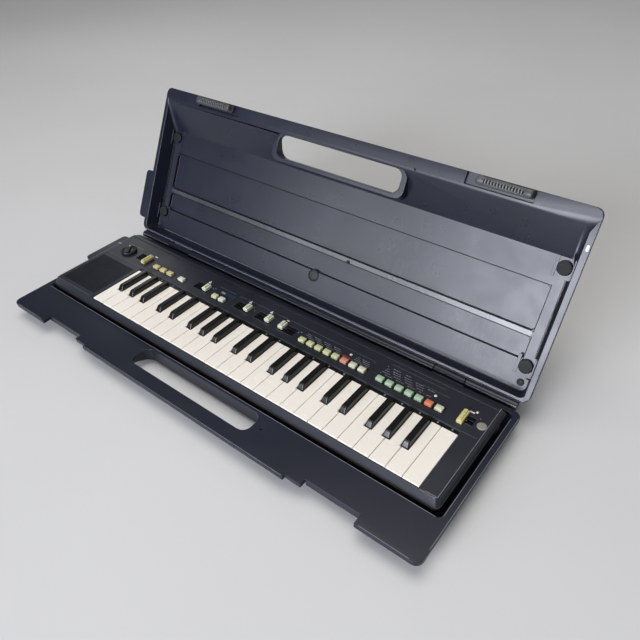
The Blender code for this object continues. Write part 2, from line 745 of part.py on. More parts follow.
def make_lower_case():
    floor = HOUSING_BOTTOM + FOOT_HEIGHT
    top = LEDGE_Z - REST_GAP
    draft = LOWER_CASE_DRAFT
    low = housing_ring(floor, draft, draft, draft, 2 * HOUSING_CORNER)
    high = housing_ring(top, 0, 0, 0, HOUSING_CORNER)
    inner_low = housing_ring(
        floor + HOUSING_WALL,
        draft + HOUSING_WALL,
        draft + HOUSING_WALL,
        draft + HOUSING_WALL,
        2 * HOUSING_CORNER,
    )
    inner_high = housing_ring(
        top, HOUSING_WALL, HOUSING_WALL, HOUSING_WALL, HOUSING_CORNER
    )
    above = [(x, y, z + HOUSING_WALL) for x, y, z in inner_high]
    case = loft("lower_case", [low, high])
    cut(case, "lower_case_inside", [inner_low, inner_high, above])

    inside = floor + HOUSING_WALL / 2
    beam_top = KEY_BOTTOM - REST_GAP
    stop_top = KEY_BOTTOM - KEY_DIP - REST_GAP
    stop = KEY_FRONT + STOP_BEAM_FRONT
    add(case, "key_beams",
        block(KEY_LEFT, KEY_RIGHT, PIVOT_Y - PIVOT_BEAM_WIDTH / 2, PIVOT_Y + PIVOT_BEAM_WIDTH / 2,
              inside, beam_top),
        block(KEY_LEFT, KEY_RIGHT, stop, stop + STOP_BEAM_WIDTH, inside, stop_top))
    add(case, "lower_bosses", *[
        prism(circle(x, y, BOSS_RADIUS, 12), inside, LEDGE_Z) for x, y in boss_places()
    ])
    add(case, "speaker", speaker_stack(inside))
    feet_x = LEDGE_LENGTH / 2 - FOOT_INSET
    feet = [
        prism(circle(x, y, FOOT_RADIUS, 16), HOUSING_BOTTOM, inside)
        for x in (-feet_x, feet_x)
        for y in (KEY_FRONT - LEDGE_FRONT + FOOT_INSET, KEY_FRONT + LEDGE_BACK - FOOT_INSET)
    ]
    add(case, "keyboard_feet", *feet)
    return finish(case, (0.020, 0.021, 0.026), 0.5)


def boss_places():
    """Screw bosses in the cheeks and behind the panel."""
    side = TOP_LENGTH / 2 - 2 * BOSS_RADIUS
    front = KEY_FRONT + GRILLE_FRONT_MARGIN / 2
    back = KEY_FRONT + PANEL_BACK
    return [(-side, front), (side, front), (-side, back), (side, back), (-side / 3, back), (side / 3, back)]


def grille_span():
    """Low x, high x, low y and high y of the grille's slots."""
    low = -TOP_LENGTH / 2 + GRILLE_SIDE_MARGIN
    high = KEY_LEFT - GRILLE_SIDE_MARGIN
    front = KEY_FRONT + GRILLE_FRONT_MARGIN
    return low, high, front, front + GRILLE_PITCH * GRILLE_SLOTS


def speaker_stack(bottom):
    low, high, front, back = grille_span()
    x = (low + high) / 2
    y = (front + back) / 2
    radius = min(SPEAKER_RADIUS, (high - low) / 2)
    magnet = min(SPEAKER_MAGNET_RADIUS, radius)
    rim = SKIN_UNDERSIDE - GRILLE_CROSS_RIB_DEPTH - REST_GAP
    middle = (bottom + rim) / 2
    return [
        at_height(circle(x, y, magnet), bottom),
        at_height(circle(x, y, magnet), middle),
        at_height(circle(x, y, radius), rim - SPEAKER_RIM),
        at_height(circle(x, y, radius), rim),
    ]


def make_upper_case():
    bottom = LEDGE_Z
    front = LEDGE_FRONT - TOP_FRONT_LIP
    back = LEDGE_BACK - TOP_BACK
    edge = HOUSING_EDGE
    wall = HOUSING_WALL
    case = loft(
        "upper_case",
        [
            housing_ring(bottom, LEDGE_STEP, LEDGE_STEP, LEDGE_STEP, HOUSING_CORNER),
            housing_ring(KEY_TOP - edge, front, LEDGE_SIDE, back, HOUSING_CORNER),
            housing_ring(KEY_TOP, front + edge, LEDGE_SIDE + edge, back + edge, HOUSING_CORNER),
        ],
    )
    inner_low = housing_ring(
        bottom, LEDGE_STEP + wall, LEDGE_STEP + wall, LEDGE_STEP + wall, HOUSING_CORNER
    )
    inner_high = housing_ring(
        SKIN_UNDERSIDE, front + wall, LEDGE_SIDE + wall, back + wall, HOUSING_CORNER
    )
    below = [(x, y, z - wall) for x, y, z in inner_low]
    cut(case, "upper_case_inside", [below, inner_low, inner_high])

    above = KEY_TOP + wall
    low_x = KEY_LEFT - KEY_GAP
    high_x = KEY_RIGHT + KEY_GAP
    key_front = KEY_FRONT - RAIL_GAP
    strip_front = KEY_BACK + REST_GAP
    cut(case, "key_opening", block(low_x, high_x, key_front, strip_front, 0.0, above))
    cut(case, "rail_and_strip",
        block(low_x, high_x, KEY_FRONT - LEDGE_FRONT, key_front + RAIL_GAP / 2, KEY_TOP - RAIL_DROP, above),
        block(low_x, high_x, strip_front - MM, KEY_BACK + STRIP_WIDTH, KEY_TOP - STRIP_DROP, above))
    panel_back = KEY_FRONT + PANEL_BACK
    half = TOP_LENGTH / 2
    cut(case, "panel_groove", block(
        -half - MM, half + MM, panel_back, panel_back + PANEL_GROOVE, KEY_TOP - PANEL_GROOVE_DEPTH, above
    ))

    low, high, grille_front, _ = grille_span()
    slots = []
    for slot in range(GRILLE_SLOTS):
        y = grille_front + slot * GRILLE_PITCH
        slots.append(block(low, high, y, y + GRILLE_SLOT, SKIN_UNDERSIDE - 2 * MM, above))
    cut(case, "grille_slots", *slots)
    add(case, "grille_cross_ribs", *grille_cross_ribs())

    cut(case, "shaft_hole", prism(circle(*panel_point(KNOB_X, KNOB_Y), SHAFT_RADIUS + CONTROL_GAP), 0.0, above))
    cut(case, "slider_slots", *[
        slot_stack(x, y, start, end, 0.0, above) for x, y, start, end in slider_places()
    ])
    cut(case, "button_openings", *[
        prism(button_outline(x, width, CONTROL_GAP), 0.0, above) for x, width in all_buttons()
    ])
    add(case, "upper_bosses", *[
        prism(circle(x, y, BOSS_RADIUS, 12), LEDGE_Z + REST_GAP, SKIN_UNDERSIDE + wall / 2)
        for x, y in boss_places()
    ])
    return finish(case, (0.022, 0.023, 0.030), 0.45)


def grille_cross_ribs():
    """Ribs under the grille that tie its bars together."""
    low, high, front, back = grille_span()
    ribs = []
    for rib in range(GRILLE_CROSS_RIBS):
        x = low + (rib + 0.5) * (high - low) / GRILLE_CROSS_RIBS
        ribs.append(block(
            x - GRILLE_CROSS_RIB_WIDTH / 2,
            x + GRILLE_CROSS_RIB_WIDTH / 2,
            front - GRILLE_PITCH,
            back,
            SKIN_UNDERSIDE - GRILLE_CROSS_RIB_DEPTH,
            SKIN_UNDERSIDE + GRILLE_CROSS_RIB_DEPTH / 4,
        ))
    return ribs


def panel_point(x, y):
    """A place on the panel, from the left end of the keys and from their fronts."""
    return KEY_LEFT + x, KEY_FRONT + y


def slider_places():
    """Each sliding control's x, y and its travel to the left and to the right."""
    return [
        (SLIDER_1_X, LEVER_Y, -SLIDER_TRAVEL, 0.0),
        (SLIDER_2_X, SLIDER_Y, -SLIDER_TRAVEL, 0.0),
        (SLIDER_3_X, SLIDER_Y, -SLIDER_TRAVEL, 0.0),
        (SLIDER_4_X, SLIDER_Y, -SLIDER_TRAVEL, 0.0),
        (SLIDER_5_X, SLIDER_Y, 0.0, SLIDER_TRAVEL),
        (SWITCH_X, LEVER_Y, 0.0, SWITCH_TRAVEL),
    ]


def slot_stack(x, y, start, end, low, high):
    px, py = panel_point(x, y)
    half = STEM_LENGTH / 2 + CONTROL_GAP
    return block(px + start - half, px + end + half, py - SLOT_WIDTH / 2, py + SLOT_WIDTH / 2, low, high)


def make_slider(name, place, width, depth, colour):
    """A slider: a tapered cap with a ridge, a stem through the panel's slot and a plate under the panel."""
    x, y = panel_point(place[0], place[1])
    cap_low = KEY_TOP + CONTROL_GAP
    cap_high = KEY_TOP + SLIDER_HEIGHT
    taper = SLIDER_HEIGHT / 8
    outline = rounded_rectangle(
        x - width / 2, x + width / 2, y - depth / 2, y + depth / 2, SLIDER_CORNER, 2
    )
    upper = rounded_rectangle(
        x - width / 2 + taper, x + width / 2 - taper,
        y - depth / 2 + taper, y + depth / 2 - taper,
        SLIDER_CORNER, 2,
    )
    ridge_low = cap_high - SLIDER_RIDGE
    slider = loft(name, [at_height(outline, cap_low), at_height(upper, ridge_low)])
    half = width * RIDGE_SHARE / 2
    foot = half * RIDGE_FOOT
    profile = [
        (x - foot, ridge_low - MM),
        (x + foot, ridge_low - MM),
        (x + half, cap_high),
        (x - half, cap_high),
    ]
    add(slider, f"{name}_ridge", [
        [(px, y - depth / 2 + 2 * taper, pz) for px, pz in profile],
        [(px, y + depth / 2 - 2 * taper, pz) for px, pz in profile],
    ])
    plate_high = SKIN_UNDERSIDE - REST_GAP
    plate_low = plate_high - PLATE_THICKNESS
    add(slider, f"{name}_stem", block(
        x - STEM_LENGTH / 2, x + STEM_LENGTH / 2, y - STEM_WIDTH / 2, y + STEM_WIDTH / 2,
        (plate_low + plate_high) / 2, cap_low + MM
    ))
    plate = SLIDER_BACKPLATE / 2
    add(slider, f"{name}_plate", block(x - plate, x + plate, y - plate, y + plate, plate_low, plate_high))
    return finish(slider, colour, 0.4)


def left_buttons():
    row = [(LEFT_ROW_X + i * LEFT_ROW_PITCH, WIDE_BUTTON) for i in range(3)]
    pair = [(PAIR_BUTTON_X + i * ROW_PITCH, NARROW_BUTTON) for i in range(2)]
    return [*row, (SINGLE_BUTTON_X, WIDE_BUTTON), *pair]


def middle_buttons():
    return [(MIDDLE_ROW_X + i * ROW_PITCH, NARROW_BUTTON) for i in range(8)]


def right_buttons():
    return [(RIGHT_ROW_X + i * ROW_PITCH, NARROW_BUTTON) for i in range(7)]


def all_buttons():
    return left_buttons() + middle_buttons() + right_buttons()


def button_outline(x, width, grow=0.0):
    px, py = panel_point(x, BUTTON_Y)
    return rounded_rectangle(
        px - width / 2 - grow,
        px + width / 2 + grow,
        py - BUTTON_DEPTH / 2 - grow,
        py + BUTTON_DEPTH / 2 + grow,
        BUTTON_CORNER,
        1,
    )


def make_button_bank(name, buttons, colour):
    """Push buttons in a row, moulded on one sprung bar under the panel."""
    high = SKIN_UNDERSIDE - REST_GAP
    low = high - PLATE_THICKNESS
    middle = (low + high) / 2
    stacks = []
    for x, width in buttons:
        stacks.append([
            at_height(button_outline(x, width), middle),
            at_height(button_outline(x, width), KEY_TOP + BUTTON_HEIGHT - BUTTON_TAPER),
            at_height(button_outline(x, width, -BUTTON_TAPER), KEY_TOP + BUTTON_HEIGHT),
        ])
    first, _ = panel_point(buttons[0][0] - buttons[0][1] / 2, 0)
    last, front = panel_point(buttons[-1][0] + buttons[-1][1] / 2, BUTTON_Y - BUTTON_DEPTH / 2)
    bar_front = front + BUTTON_DEPTH / 3 - CARRIER_DEPTH
    bank = loft(name, block(first, last, bar_front, bar_front + CARRIER_DEPTH, low, high))
    add(bank, f"{name}_caps", *stacks)
    return finish(bank, colour, 0.4)


def make_knob():
    x, y = panel_point(KNOB_X, KNOB_Y)
    low = KEY_TOP + CONTROL_GAP
    skirt = low + KNOB_SKIRT_HEIGHT
    knob = loft(
        "volume_knob",
        [
            at_height(circle(x, y, KNOB_RADIUS), low),
            at_height(circle(x, y, KNOB_RADIUS), skirt - KNOB_EDGE),
            at_height(circle(x, y, KNOB_RADIUS - KNOB_EDGE), skirt),
        ],
    )
    grip = KNOB_GRIP_WIDTH / 2
    reach = KNOB_RADIUS - KNOB_GRIP_INSET
    outline = rounded_rectangle(x - reach, x + reach, y - grip, y + grip, grip)
    narrow = grip - KNOB_EDGE / 2
    short = reach - KNOB_EDGE
    upper = rounded_rectangle(x - short, x + short, y - narrow, y + narrow, grip)
    top = KEY_TOP + KNOB_HEIGHT
    add(knob, "knob_grip", [
        at_height(outline, skirt - KNOB_EDGE),
        at_height(outline, top - KNOB_EDGE),
        at_height(upper, top),
    ])
    high = SKIN_UNDERSIDE - REST_GAP
    washer = high - PLATE_THICKNESS
    add(knob, "knob_shaft", prism(circle(x, y, SHAFT_RADIUS, 16), (washer + high) / 2, low + MM))
    add(knob, "knob_washer", prism(circle(x, y, KNOB_WASHER_RADIUS, 16), washer, high))
    hang_on(axis_empty("knob_axis", (x, y, low)), knob, *tools_of(knob))
    return finish(knob, (0.016, 0.016, 0.018), 0.38)


def note_name(index):
    """The letter and octave of a white key, counted from the left."""
    place = NOTE_NAMES.index(FIRST_WHITE) + index
    return NOTE_NAMES[place % 7], FIRST_OCTAVE + place // 7


def black_centre(index):
    """The X of the black key after a white key, or None where there is none."""
    letter, _ = note_name(index)
    if letter not in SHARP_SHIFT or not 0 <= index < WHITE_KEYS - 1:
        return None
    return KEY_LEFT + (index + 1) * KEY_PITCH + SHARP_SHIFT[letter]


def white_outline(index):
    """The plan of a white key, with its tail between the black keys beside it."""
    left = KEY_LEFT + index * KEY_PITCH + KEY_GAP / 2
    right = left + KEY_PITCH - KEY_GAP
    notch = KEY_FRONT + BLACK_FRONT - KEY_GAP
    back = PIVOT_Y + TAIL_HEIGHT
    reach = BLACK_WIDTH / 2 + KEY_GAP
    before = black_centre(index - 1)
    after = black_centre(index)
    points = [(left, KEY_FRONT), (right, KEY_FRONT)]
    if after is not None:
        points += [(right, notch), (after - reach, notch), (after - reach, back)]
    else:
        points.append((right, back))
    if before is not None:
        points += [(before + reach, back), (before + reach, notch), (left, notch)]
    else:
        points.append((left, back))
    return points


def white_hollow(index):
    """The plan of the hollow under a white key."""
    wall = KEY_WALL
    back = KEY_BACK - wall
    notch = KEY_FRONT + BLACK_FRONT - KEY_GAP - wall
    xs = [x for x, _ in white_outline(index)]
    tail = [x for x, y in white_outline(index) if y > KEY_BACK]
    left, right = min(xs) + wall, max(xs) - wall
    tail_left, tail_right = min(tail) + wall, max(tail) - wall
    points = [(left, KEY_FRONT + wall), (right, KEY_FRONT + wall)]
    if tail_right < right:
        points += [(right, notch), (tail_right, notch)]
    points += [(tail_right, back), (tail_left, back)]
    if tail_left > left:
        points += [(tail_left, notch), (left, notch)]
    return points


def tail_cutter():
    """Shared by all keys: lowers the tails behind the visible keys and rounds their ends on the pivot."""
    radius = TAIL_HEIGHT / 2
    above = KEY_TOP + 2 * BLACK_HEIGHT
    below = KEY_BOTTOM - TAIL_HEIGHT
    profile = [(KEY_BACK, above), (KEY_BACK, KEY_BOTTOM + TAIL_HEIGHT)]
    for step in range(7):
        angle = math.radians(90 - 30 * step)
        profile.append((PIVOT_Y + radius * math.cos(angle), PIVOT_Z + radius * math.sin(angle)))
    end = PIVOT_Y + 3 * TAIL_HEIGHT
    profile += [(PIVOT_Y, below), (end, below), (end, above)]
    rings = [along_x(profile, KEY_LEFT - KEY_PITCH), along_x(profile, KEY_RIGHT + KEY_PITCH)]
    return loft("key_tails", rings)


def make_white_key(index, tails):
    letter, octave = note_name(index)
    name = f"key_{letter}{octave}"
    outline = white_outline(index)
    key = loft(name, prism(outline, KEY_BOTTOM, KEY_TOP))
    built = bmesh.new()
    built.from_mesh(key.data)
    top = [e for e in built.edges if all(v.co.z > KEY_TOP - MM / 2 for v in e.verts)]
    bmesh.ops.bevel(built, geom=top, offset=KEY_TOP_BEVEL, segments=1, affect="EDGES")
    built.to_mesh(key.data)
    built.free()
    use(key, tails, "DIFFERENCE")
    hollow = prism(white_hollow(index), KEY_BOTTOM - MM, KEY_TOP - KEY_TOP_WALL)
    cut(key, f"{name}_hollow", hollow)
    return finish(key, (0.86, 0.82, 0.74), 0.3)


def black_ring(x, z, half, front):
    back = PIVOT_Y + TAIL_HEIGHT
    chamfer = BLACK_CORNER
    points = [
        (x - half, front + chamfer),
        (x - half + chamfer, front),
        (x + half - chamfer, front),
        (x + half, front + chamfer),
        (x + half, back),
        (x - half, back),
    ]
    return at_height(points, z)


def make_black_key(index, tails):
    letter, octave = note_name(index)
    x = black_centre(index)
    half = BLACK_WIDTH / 2
    top_half = BLACK_TOP_WIDTH / 2
    front = KEY_FRONT + BLACK_FRONT
    top = KEY_TOP + BLACK_HEIGHT
    key = loft(
        f"key_{letter}{octave}_sharp",
        [
            black_ring(x, KEY_BOTTOM, half, front),
            black_ring(x, KEY_TOP, half, front),
            black_ring(x, top - BLACK_EDGE, top_half, front + BLACK_FRONT_SLOPE),
            black_ring(x, top, top_half - BLACK_EDGE, front + BLACK_FRONT_SLOPE + 2 * BLACK_EDGE),
        ],
    )
    use(key, tails, "DIFFERENCE")
    return finish(key, (0.010, 0.010, 0.011), 0.16)


def make_keys():
    pivot = axis_empty("key_pivot", (0, PIVOT_Y, PIVOT_Z))
    tails = tail_cutter()
    hang_on(pivot, tails)
    for index in range(WHITE_KEYS):
        white = make_white_key(index, tails)
        hang_on(pivot, white, *[tool for tool in tools_of(white) if tool is not tails])
        if black_centre(index) is not None:
            hang_on(pivot, make_black_key(index, tails))


def make_controls():
    make_knob()
    places = slider_places()
    cream = (0.72, 0.66, 0.48)
    yellow = (0.78, 0.66, 0.22)
    make_slider("slider_1", places[0], LEVER_WIDTH, LEVER_DEPTH, yellow)
    for number in range(2, 6):
        make_slider(f"slider_{number}", places[number - 1], SLIDER_WIDTH, SLIDER_DEPTH, cream)
    make_slider("slide_switch", places[5], LEVER_WIDTH, LEVER_DEPTH, yellow)
    make_button_bank("button_bank_left", left_buttons(), (0.62, 0.60, 0.42))
    make_button_bank("button_bank_middle", middle_buttons(), (0.55, 0.60, 0.42))
    make_button_bank("button_bank_right", right_buttons(), (0.50, 0.62, 0.50))


def make_case():
    make_case_base()
    hinge = axis_empty("lid_hinge", (0, HINGE_Y, HINGE_Z))
    lid_pieces = [make_case_lid(), make_latch("latch_left", -1), make_latch("latch_right", 1)]
    for piece in lid_pieces:
        hang_on(hinge, piece, *tools_of(piece))
    hinge.rotation_euler.x = -math.radians(LID_OPEN_ANGLE)


def clear_scene():
    for obj in list(bpy.data.objects):
        bpy.data.objects.remove(obj, do_unlink=True)


def main():
    clear_scene()
    make_case()
    make_lower_case()
    make_upper_case()
    make_controls()
    make_keys()


main()
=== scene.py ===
"""The look of the keyboard in its open case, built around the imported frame.

Metres, in the frame's own axes: +X to the player's right, +Y to the back, +Z up.
"""

import json
import math

import bmesh
import bpy
from mathutils import Matrix, Vector
from mathutils.bvhtree import BVHTree

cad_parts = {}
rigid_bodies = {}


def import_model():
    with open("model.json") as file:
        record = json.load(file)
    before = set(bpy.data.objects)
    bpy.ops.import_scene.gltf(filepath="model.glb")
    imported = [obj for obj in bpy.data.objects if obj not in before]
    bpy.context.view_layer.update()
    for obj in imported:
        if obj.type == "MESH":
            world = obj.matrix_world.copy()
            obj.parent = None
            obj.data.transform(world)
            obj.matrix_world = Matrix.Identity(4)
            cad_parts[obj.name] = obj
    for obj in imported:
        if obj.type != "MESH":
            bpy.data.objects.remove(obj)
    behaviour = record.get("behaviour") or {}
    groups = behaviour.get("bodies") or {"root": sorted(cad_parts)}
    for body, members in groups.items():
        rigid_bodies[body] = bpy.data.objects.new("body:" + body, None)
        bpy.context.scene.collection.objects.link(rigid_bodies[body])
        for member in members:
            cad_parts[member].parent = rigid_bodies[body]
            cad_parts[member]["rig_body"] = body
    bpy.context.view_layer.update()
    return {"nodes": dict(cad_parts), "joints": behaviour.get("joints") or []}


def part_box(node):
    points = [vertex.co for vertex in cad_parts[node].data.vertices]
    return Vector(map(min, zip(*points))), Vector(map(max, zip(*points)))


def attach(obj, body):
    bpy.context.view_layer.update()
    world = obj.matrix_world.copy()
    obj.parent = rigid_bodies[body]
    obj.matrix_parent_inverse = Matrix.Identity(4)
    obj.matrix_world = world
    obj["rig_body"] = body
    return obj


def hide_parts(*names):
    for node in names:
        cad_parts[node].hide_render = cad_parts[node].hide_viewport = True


MM = 0.001
DOWN = Vector((0, 0, -1))
# Where the rays onto a surface start: above the lid's inner rim, above the keys, and in Z
LID_RAY = 20 * MM
PANEL_RAY = 30 * MM
BASE_RAY = 0.2

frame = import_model()
joints = {joint["name"]: joint for joint in frame["joints"]}
body_of = {node: obj["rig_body"] for node, obj in frame["nodes"].items()}

# Places read from the frame
white_names = [n for n in frame["nodes"] if n.startswith("key_") and not n.endswith("_sharp")]
white_names.sort(key=lambda name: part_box(name)[0].x)
black_names = sorted(n for n in frame["nodes"] if n.endswith("_sharp"))
first_low, first_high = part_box(white_names[0])
last_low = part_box(white_names[-1])[0]
KEY_PITCH = (last_low.x - first_low.x) / (len(white_names) - 1)
KEY_GAP = KEY_PITCH - (first_high.x - first_low.x)
KEY_LEFT = first_low.x - KEY_GAP / 2
KEY_FRONT = first_low.y
KEY_TOP = first_high.z
top_low, top_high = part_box("upper_case")
base_low, base_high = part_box("case_base")
CASE_HALF = base_high.x
CASE_FRONT = base_low.y

hinge = joints["lid_hinge"]
HINGE = Vector(hinge["pos_m"])
OPEN = math.radians(hinge["range_deg"][1])
LID_S = Vector((0, -math.cos(OPEN), math.sin(OPEN)))
LID_N = Vector((0, -math.sin(OPEN), -math.cos(OPEN)))


def lid_at(x, reach, lift):
    """A point of the open lid: its x, its distance from the hinge, its lift off the inner rim."""
    return Vector((x, HINGE.y, HINGE.z)) + LID_S * reach + LID_N * lift


def lid_floor():
    """The lift of the lid's floor: of its large faces, the next one above the deeper panels."""
    found = {}
    mesh = frame["nodes"]["case_lid"].data
    for polygon in mesh.polygons:
        if polygon.normal.dot(LID_N) > 0.999:
            lift = round((Vector(polygon.center) - HINGE).dot(LID_N), 4)
            found[lift] = found.get(lift, 0.0) + polygon.area
    large = sorted(found, key=found.get, reverse=True)[:6]
    return min((lift for lift in large if lift > min(large) + 2 * MM), default=min(large))


LID_FLOOR = lid_floor()
trees = {}


def surface(node, start, direction):
    """Where a ray first meets a node's own surface."""
    if node not in trees:
        mesh = frame["nodes"][node].data
        faces = [list(polygon.vertices) for polygon in mesh.polygons]
        trees[node] = BVHTree.FromPolygons([v.co for v in mesh.vertices], faces)
    return trees[node].ray_cast(start, direction)[0]


def lid_lift(x, reach):
    """The lift of the lid's inner surface at a place."""
    return (surface("case_lid", lid_at(x, reach, LID_RAY), -LID_N) - HINGE).dot(LID_N)


def panel_height(x, y):
    """The height of the housing's top at a place in metres, or the keys' where it has a hole."""
    hit = surface("upper_case", Vector((x, y, KEY_TOP + PANEL_RAY)), DOWN)
    return hit.z if hit is not None and hit.z > KEY_TOP - 3 * MM else KEY_TOP


def on_panel(x, y):
    """A point of the panel, counted in keys from the keys' left end and from their fronts."""
    return Vector((KEY_LEFT + x * KEY_PITCH, KEY_FRONT + y * KEY_PITCH, KEY_TOP))


# Materials
class Paint:
    """A procedural material: the nodes that feed one Principled shader."""

    def __init__(self, name):
        self.material = bpy.data.materials.new(name)
        self.material.use_nodes = True
        self.nodes = self.material.node_tree.nodes
        self.links = self.material.node_tree.links
        self.shader = self.nodes["Principled BSDF"]
        self.place = self.nodes.new("ShaderNodeTexCoord").outputs["Object"]

    def feed(self, socket, value):
        if isinstance(value, bpy.types.NodeSocket):
            self.links.new(value, socket)
        elif value is not None:
            socket.default_value = value

    def turned(self, scale, turn):
        node = self.nodes.new("ShaderNodeMapping")
        self.links.new(self.place, node.inputs["Vector"])
        node.inputs["Scale"].default_value = scale
        node.inputs["Rotation"].default_value = [math.radians(a) for a in turn]
        return node.outputs["Vector"]

    def noise(self, scale, detail=2.0, rough=0.5, vector=None):
        node = self.nodes.new("ShaderNodeTexNoise")
        self.links.new(vector or self.place, node.inputs["Vector"])
        node.inputs["Scale"].default_value = scale
        node.inputs["Detail"].default_value = detail
        node.inputs["Roughness"].default_value = rough
        return node.outputs["Fac"]

    def spread(self, value, low, high, to_low=0.0, to_high=1.0):
        node = self.nodes.new("ShaderNodeMapRange")
        self.feed(node.inputs["Value"], value)
        node.inputs["From Min"].default_value = low
        node.inputs["From Max"].default_value = high
        node.inputs["To Min"].default_value = to_low
        node.inputs["To Max"].default_value = to_high
        return node.outputs["Result"]

    def sum(self, a, b, operation="ADD"):
        node = self.nodes.new("ShaderNodeMath")
        node.operation = operation
        self.feed(node.inputs[0], a)
        self.feed(node.inputs[1], b)
        return node.outputs[0]

    def mix(self, share, a, b):
        node = self.nodes.new("ShaderNodeMix")
        node.data_type = "RGBA"
        self.feed(node.inputs[0], share)
        self.feed(node.inputs[6], a if isinstance(a, bpy.types.NodeSocket) else (*a, 1.0))
        self.feed(node.inputs[7], b if isinstance(b, bpy.types.NodeSocket) else (*b, 1.0))
        return node.outputs[2]

    def bump(self, height, distance, strength=1.0, below=None):
        node = self.nodes.new("ShaderNodeBump")
        self.feed(node.inputs["Height"], height)
        node.inputs["Distance"].default_value = distance
        node.inputs["Strength"].default_value = strength
        if below is not None:
            self.links.new(below, node.inputs["Normal"])
        return node.outputs["Normal"]

    def scratches(self, turn, length, width, low, high, patch):
        """Thin lines that come and go in patches."""
        stretched = self.turned((1 / length, 1 / width, 1 / width), turn)
        lines = self.spread(self.noise(1.0, 0.0, 0.5, stretched), low, high)
        where = self.spread(self.noise(patch, 1.0), 0.54, 0.68)
        return self.sum(lines, where, "MULTIPLY")

    def around(self, centre, radius):
        """One at a point, falling to nought at a distance."""
        node = self.nodes.new("ShaderNodeVectorMath")
        node.operation = "DISTANCE"
        self.links.new(self.place, node.inputs[0])
        node.inputs[1].default_value = centre
        return self.spread(node.outputs["Value"], 0.3 * radius, radius, 1.0, 0.0)

    def set(self, colour, roughness, normal, **fixed):
        self.feed(self.shader.inputs["Base Color"], colour)
        self.feed(self.shader.inputs["Roughness"], roughness)
        self.links.new(normal, self.shader.inputs["Normal"])
        for name, value in fixed.items():
            self.shader.inputs[name].default_value = value
        return self.material


def scaled(colour, factor):
    return tuple(min(1.0, c * factor) for c in colour)


# Each way of the fine scratches: its turn in degrees, and a scratch's length and width in metres
SCRATCH_WAYS = ((18, 0.050, 0.00032), (-34, 0.030, 0.00028), (71, 0.036, 0.00030))


def moulded(name, colour, roughness=0.4, tint=0.12, grain=0.02, grain_size=0.7,
            scratch=0.0, scratch_colour=(0.16, 0.165, 0.18), dust=0.0,
            coat=0.0, specular=0.5, uneven=0.08, scuffs=()):
    """Moulded plastic: clouded tint, a fine grain, uneven gloss, scratches, scuffs and dust."""
    paint = Paint(name)
    cloud = paint.spread(paint.noise(11.0, 3.0), 0.32, 0.68)
    fine = paint.spread(paint.noise(130.0, 4.0, 0.6), 0.30, 0.70)
    body = paint.mix(cloud, scaled(colour, 1 - tint), scaled(colour, 1 + tint))
    body = paint.mix(paint.spread(fine, 0, 1, 0.0, tint), body, scaled(colour, 1.6))
    gloss = paint.spread(paint.noise(26.0, 3.0, 0.6), 0.3, 0.7,
                         roughness - uneven / 2, roughness + uneven / 2)
    if scratch:
        lines = None
        for turn, length, width in SCRATCH_WAYS:
            patch = 9.0 + turn / 20
            found = paint.scratches((0, 0, turn), length, width, 0.68, 0.76, patch)
            lines = found if lines is None else paint.sum(lines, found, "MAXIMUM")
        body = paint.mix(paint.sum(lines, scratch, "MULTIPLY"), body, scratch_colour)
    for centre, radius in scuffs:
        grazed = paint.turned((300, 60, 90), (0, 25, 30))
        rubbed = paint.spread(paint.noise(1.0, 3.0, 0.6, grazed), 0.50, 0.72)
        near = paint.sum(rubbed, paint.around(centre, radius), "MULTIPLY")
        share = paint.sum(near, 0.14, "MULTIPLY")
        body = paint.mix(share, body, scratch_colour)
    if dust:
        specks = paint.spread(paint.noise(520.0, 1.0, 0.4), 0.70, 0.78)
        film = paint.spread(paint.noise(17.0, 5.0, 0.7), 0.50, 0.75, 0.0, 0.25)
        share = paint.sum(paint.sum(specks, film), dust, "MULTIPLY")
        body = paint.mix(share, body, (0.22, 0.215, 0.21))
    normal = paint.bump(paint.noise(1000 / grain_size, 2.0, 0.6), grain * MM)
    wave = paint.bump(paint.noise(14.0, 1.0), 0.25 * MM, 0.25, normal)
    fixed = {"Coat Weight": coat, "Coat Roughness": 0.12, "Specular IOR Level": specular}
    return paint.set(body, gloss, wave, **fixed)


NAVY = (0.009, 0.011, 0.022)
# Rubbed places of the lid's floor: x, distance from the hinge and radius, in millimetres
LID_SCUFFS = ((262, 34, 52), (225, 66, 40), (120, 105, 45))
case_paint = moulded("case_navy", NAVY, 0.33, grain=0.014, grain_size=0.9, specular=0.37)
lid_paint = moulded("lid_navy", NAVY, 0.30, grain=0.012, grain_size=0.9, specular=0.45,
                    scuffs=[(lid_at(x * MM, reach * MM, LID_FLOOR), radius * MM)
                            for x, reach, radius in LID_SCUFFS])
housing_paint = moulded("housing_black", (0.010, 0.0113, 0.0180), 0.35, grain=0.040,
                        grain_size=0.45, dust=0.10, tint=0.20, specular=0.45)
lower_paint = moulded("lower_black", (0.012, 0.0125, 0.015), 0.50, grain=0.05, grain_size=0.6,
                      dust=0.08)
white_paint = moulded("key_white", (0.84, 0.79, 0.70), 0.26, tint=0.03, grain=0.004,
                      grain_size=1.5, coat=0.2, scratch=0.04, scratch_colour=(0.62, 0.58, 0.50))
black_paint = moulded("key_black", (0.004, 0.004, 0.0035), 0.20, tint=0.3, grain=0.004,
                      grain_size=1.2, uneven=0.06, specular=0.38)
latch_paint = moulded("latch_grey", (0.050, 0.051, 0.051), 0.40, grain=0.03, grain_size=0.5,
                      dust=0.08)
# Lighter grey for the latch grip's ribs: a painted highlight on the ribs
rib_highlight_paint = moulded("latch_rib_highlight", (0.115, 0.117, 0.118), 0.36, grain=0.02, grain_size=0.5,
                    dust=0.08)
rubber_paint = moulded("pad_rubber", (0.006, 0.008, 0.007), 0.60, grain=0.05, grain_size=0.5,
                       dust=0.08, specular=0.25)
plug_paint = moulded("plug_grey", (0.022, 0.024, 0.024), 0.50, grain=0.02, grain_size=0.5,
                     dust=0.08, specular=0.3)
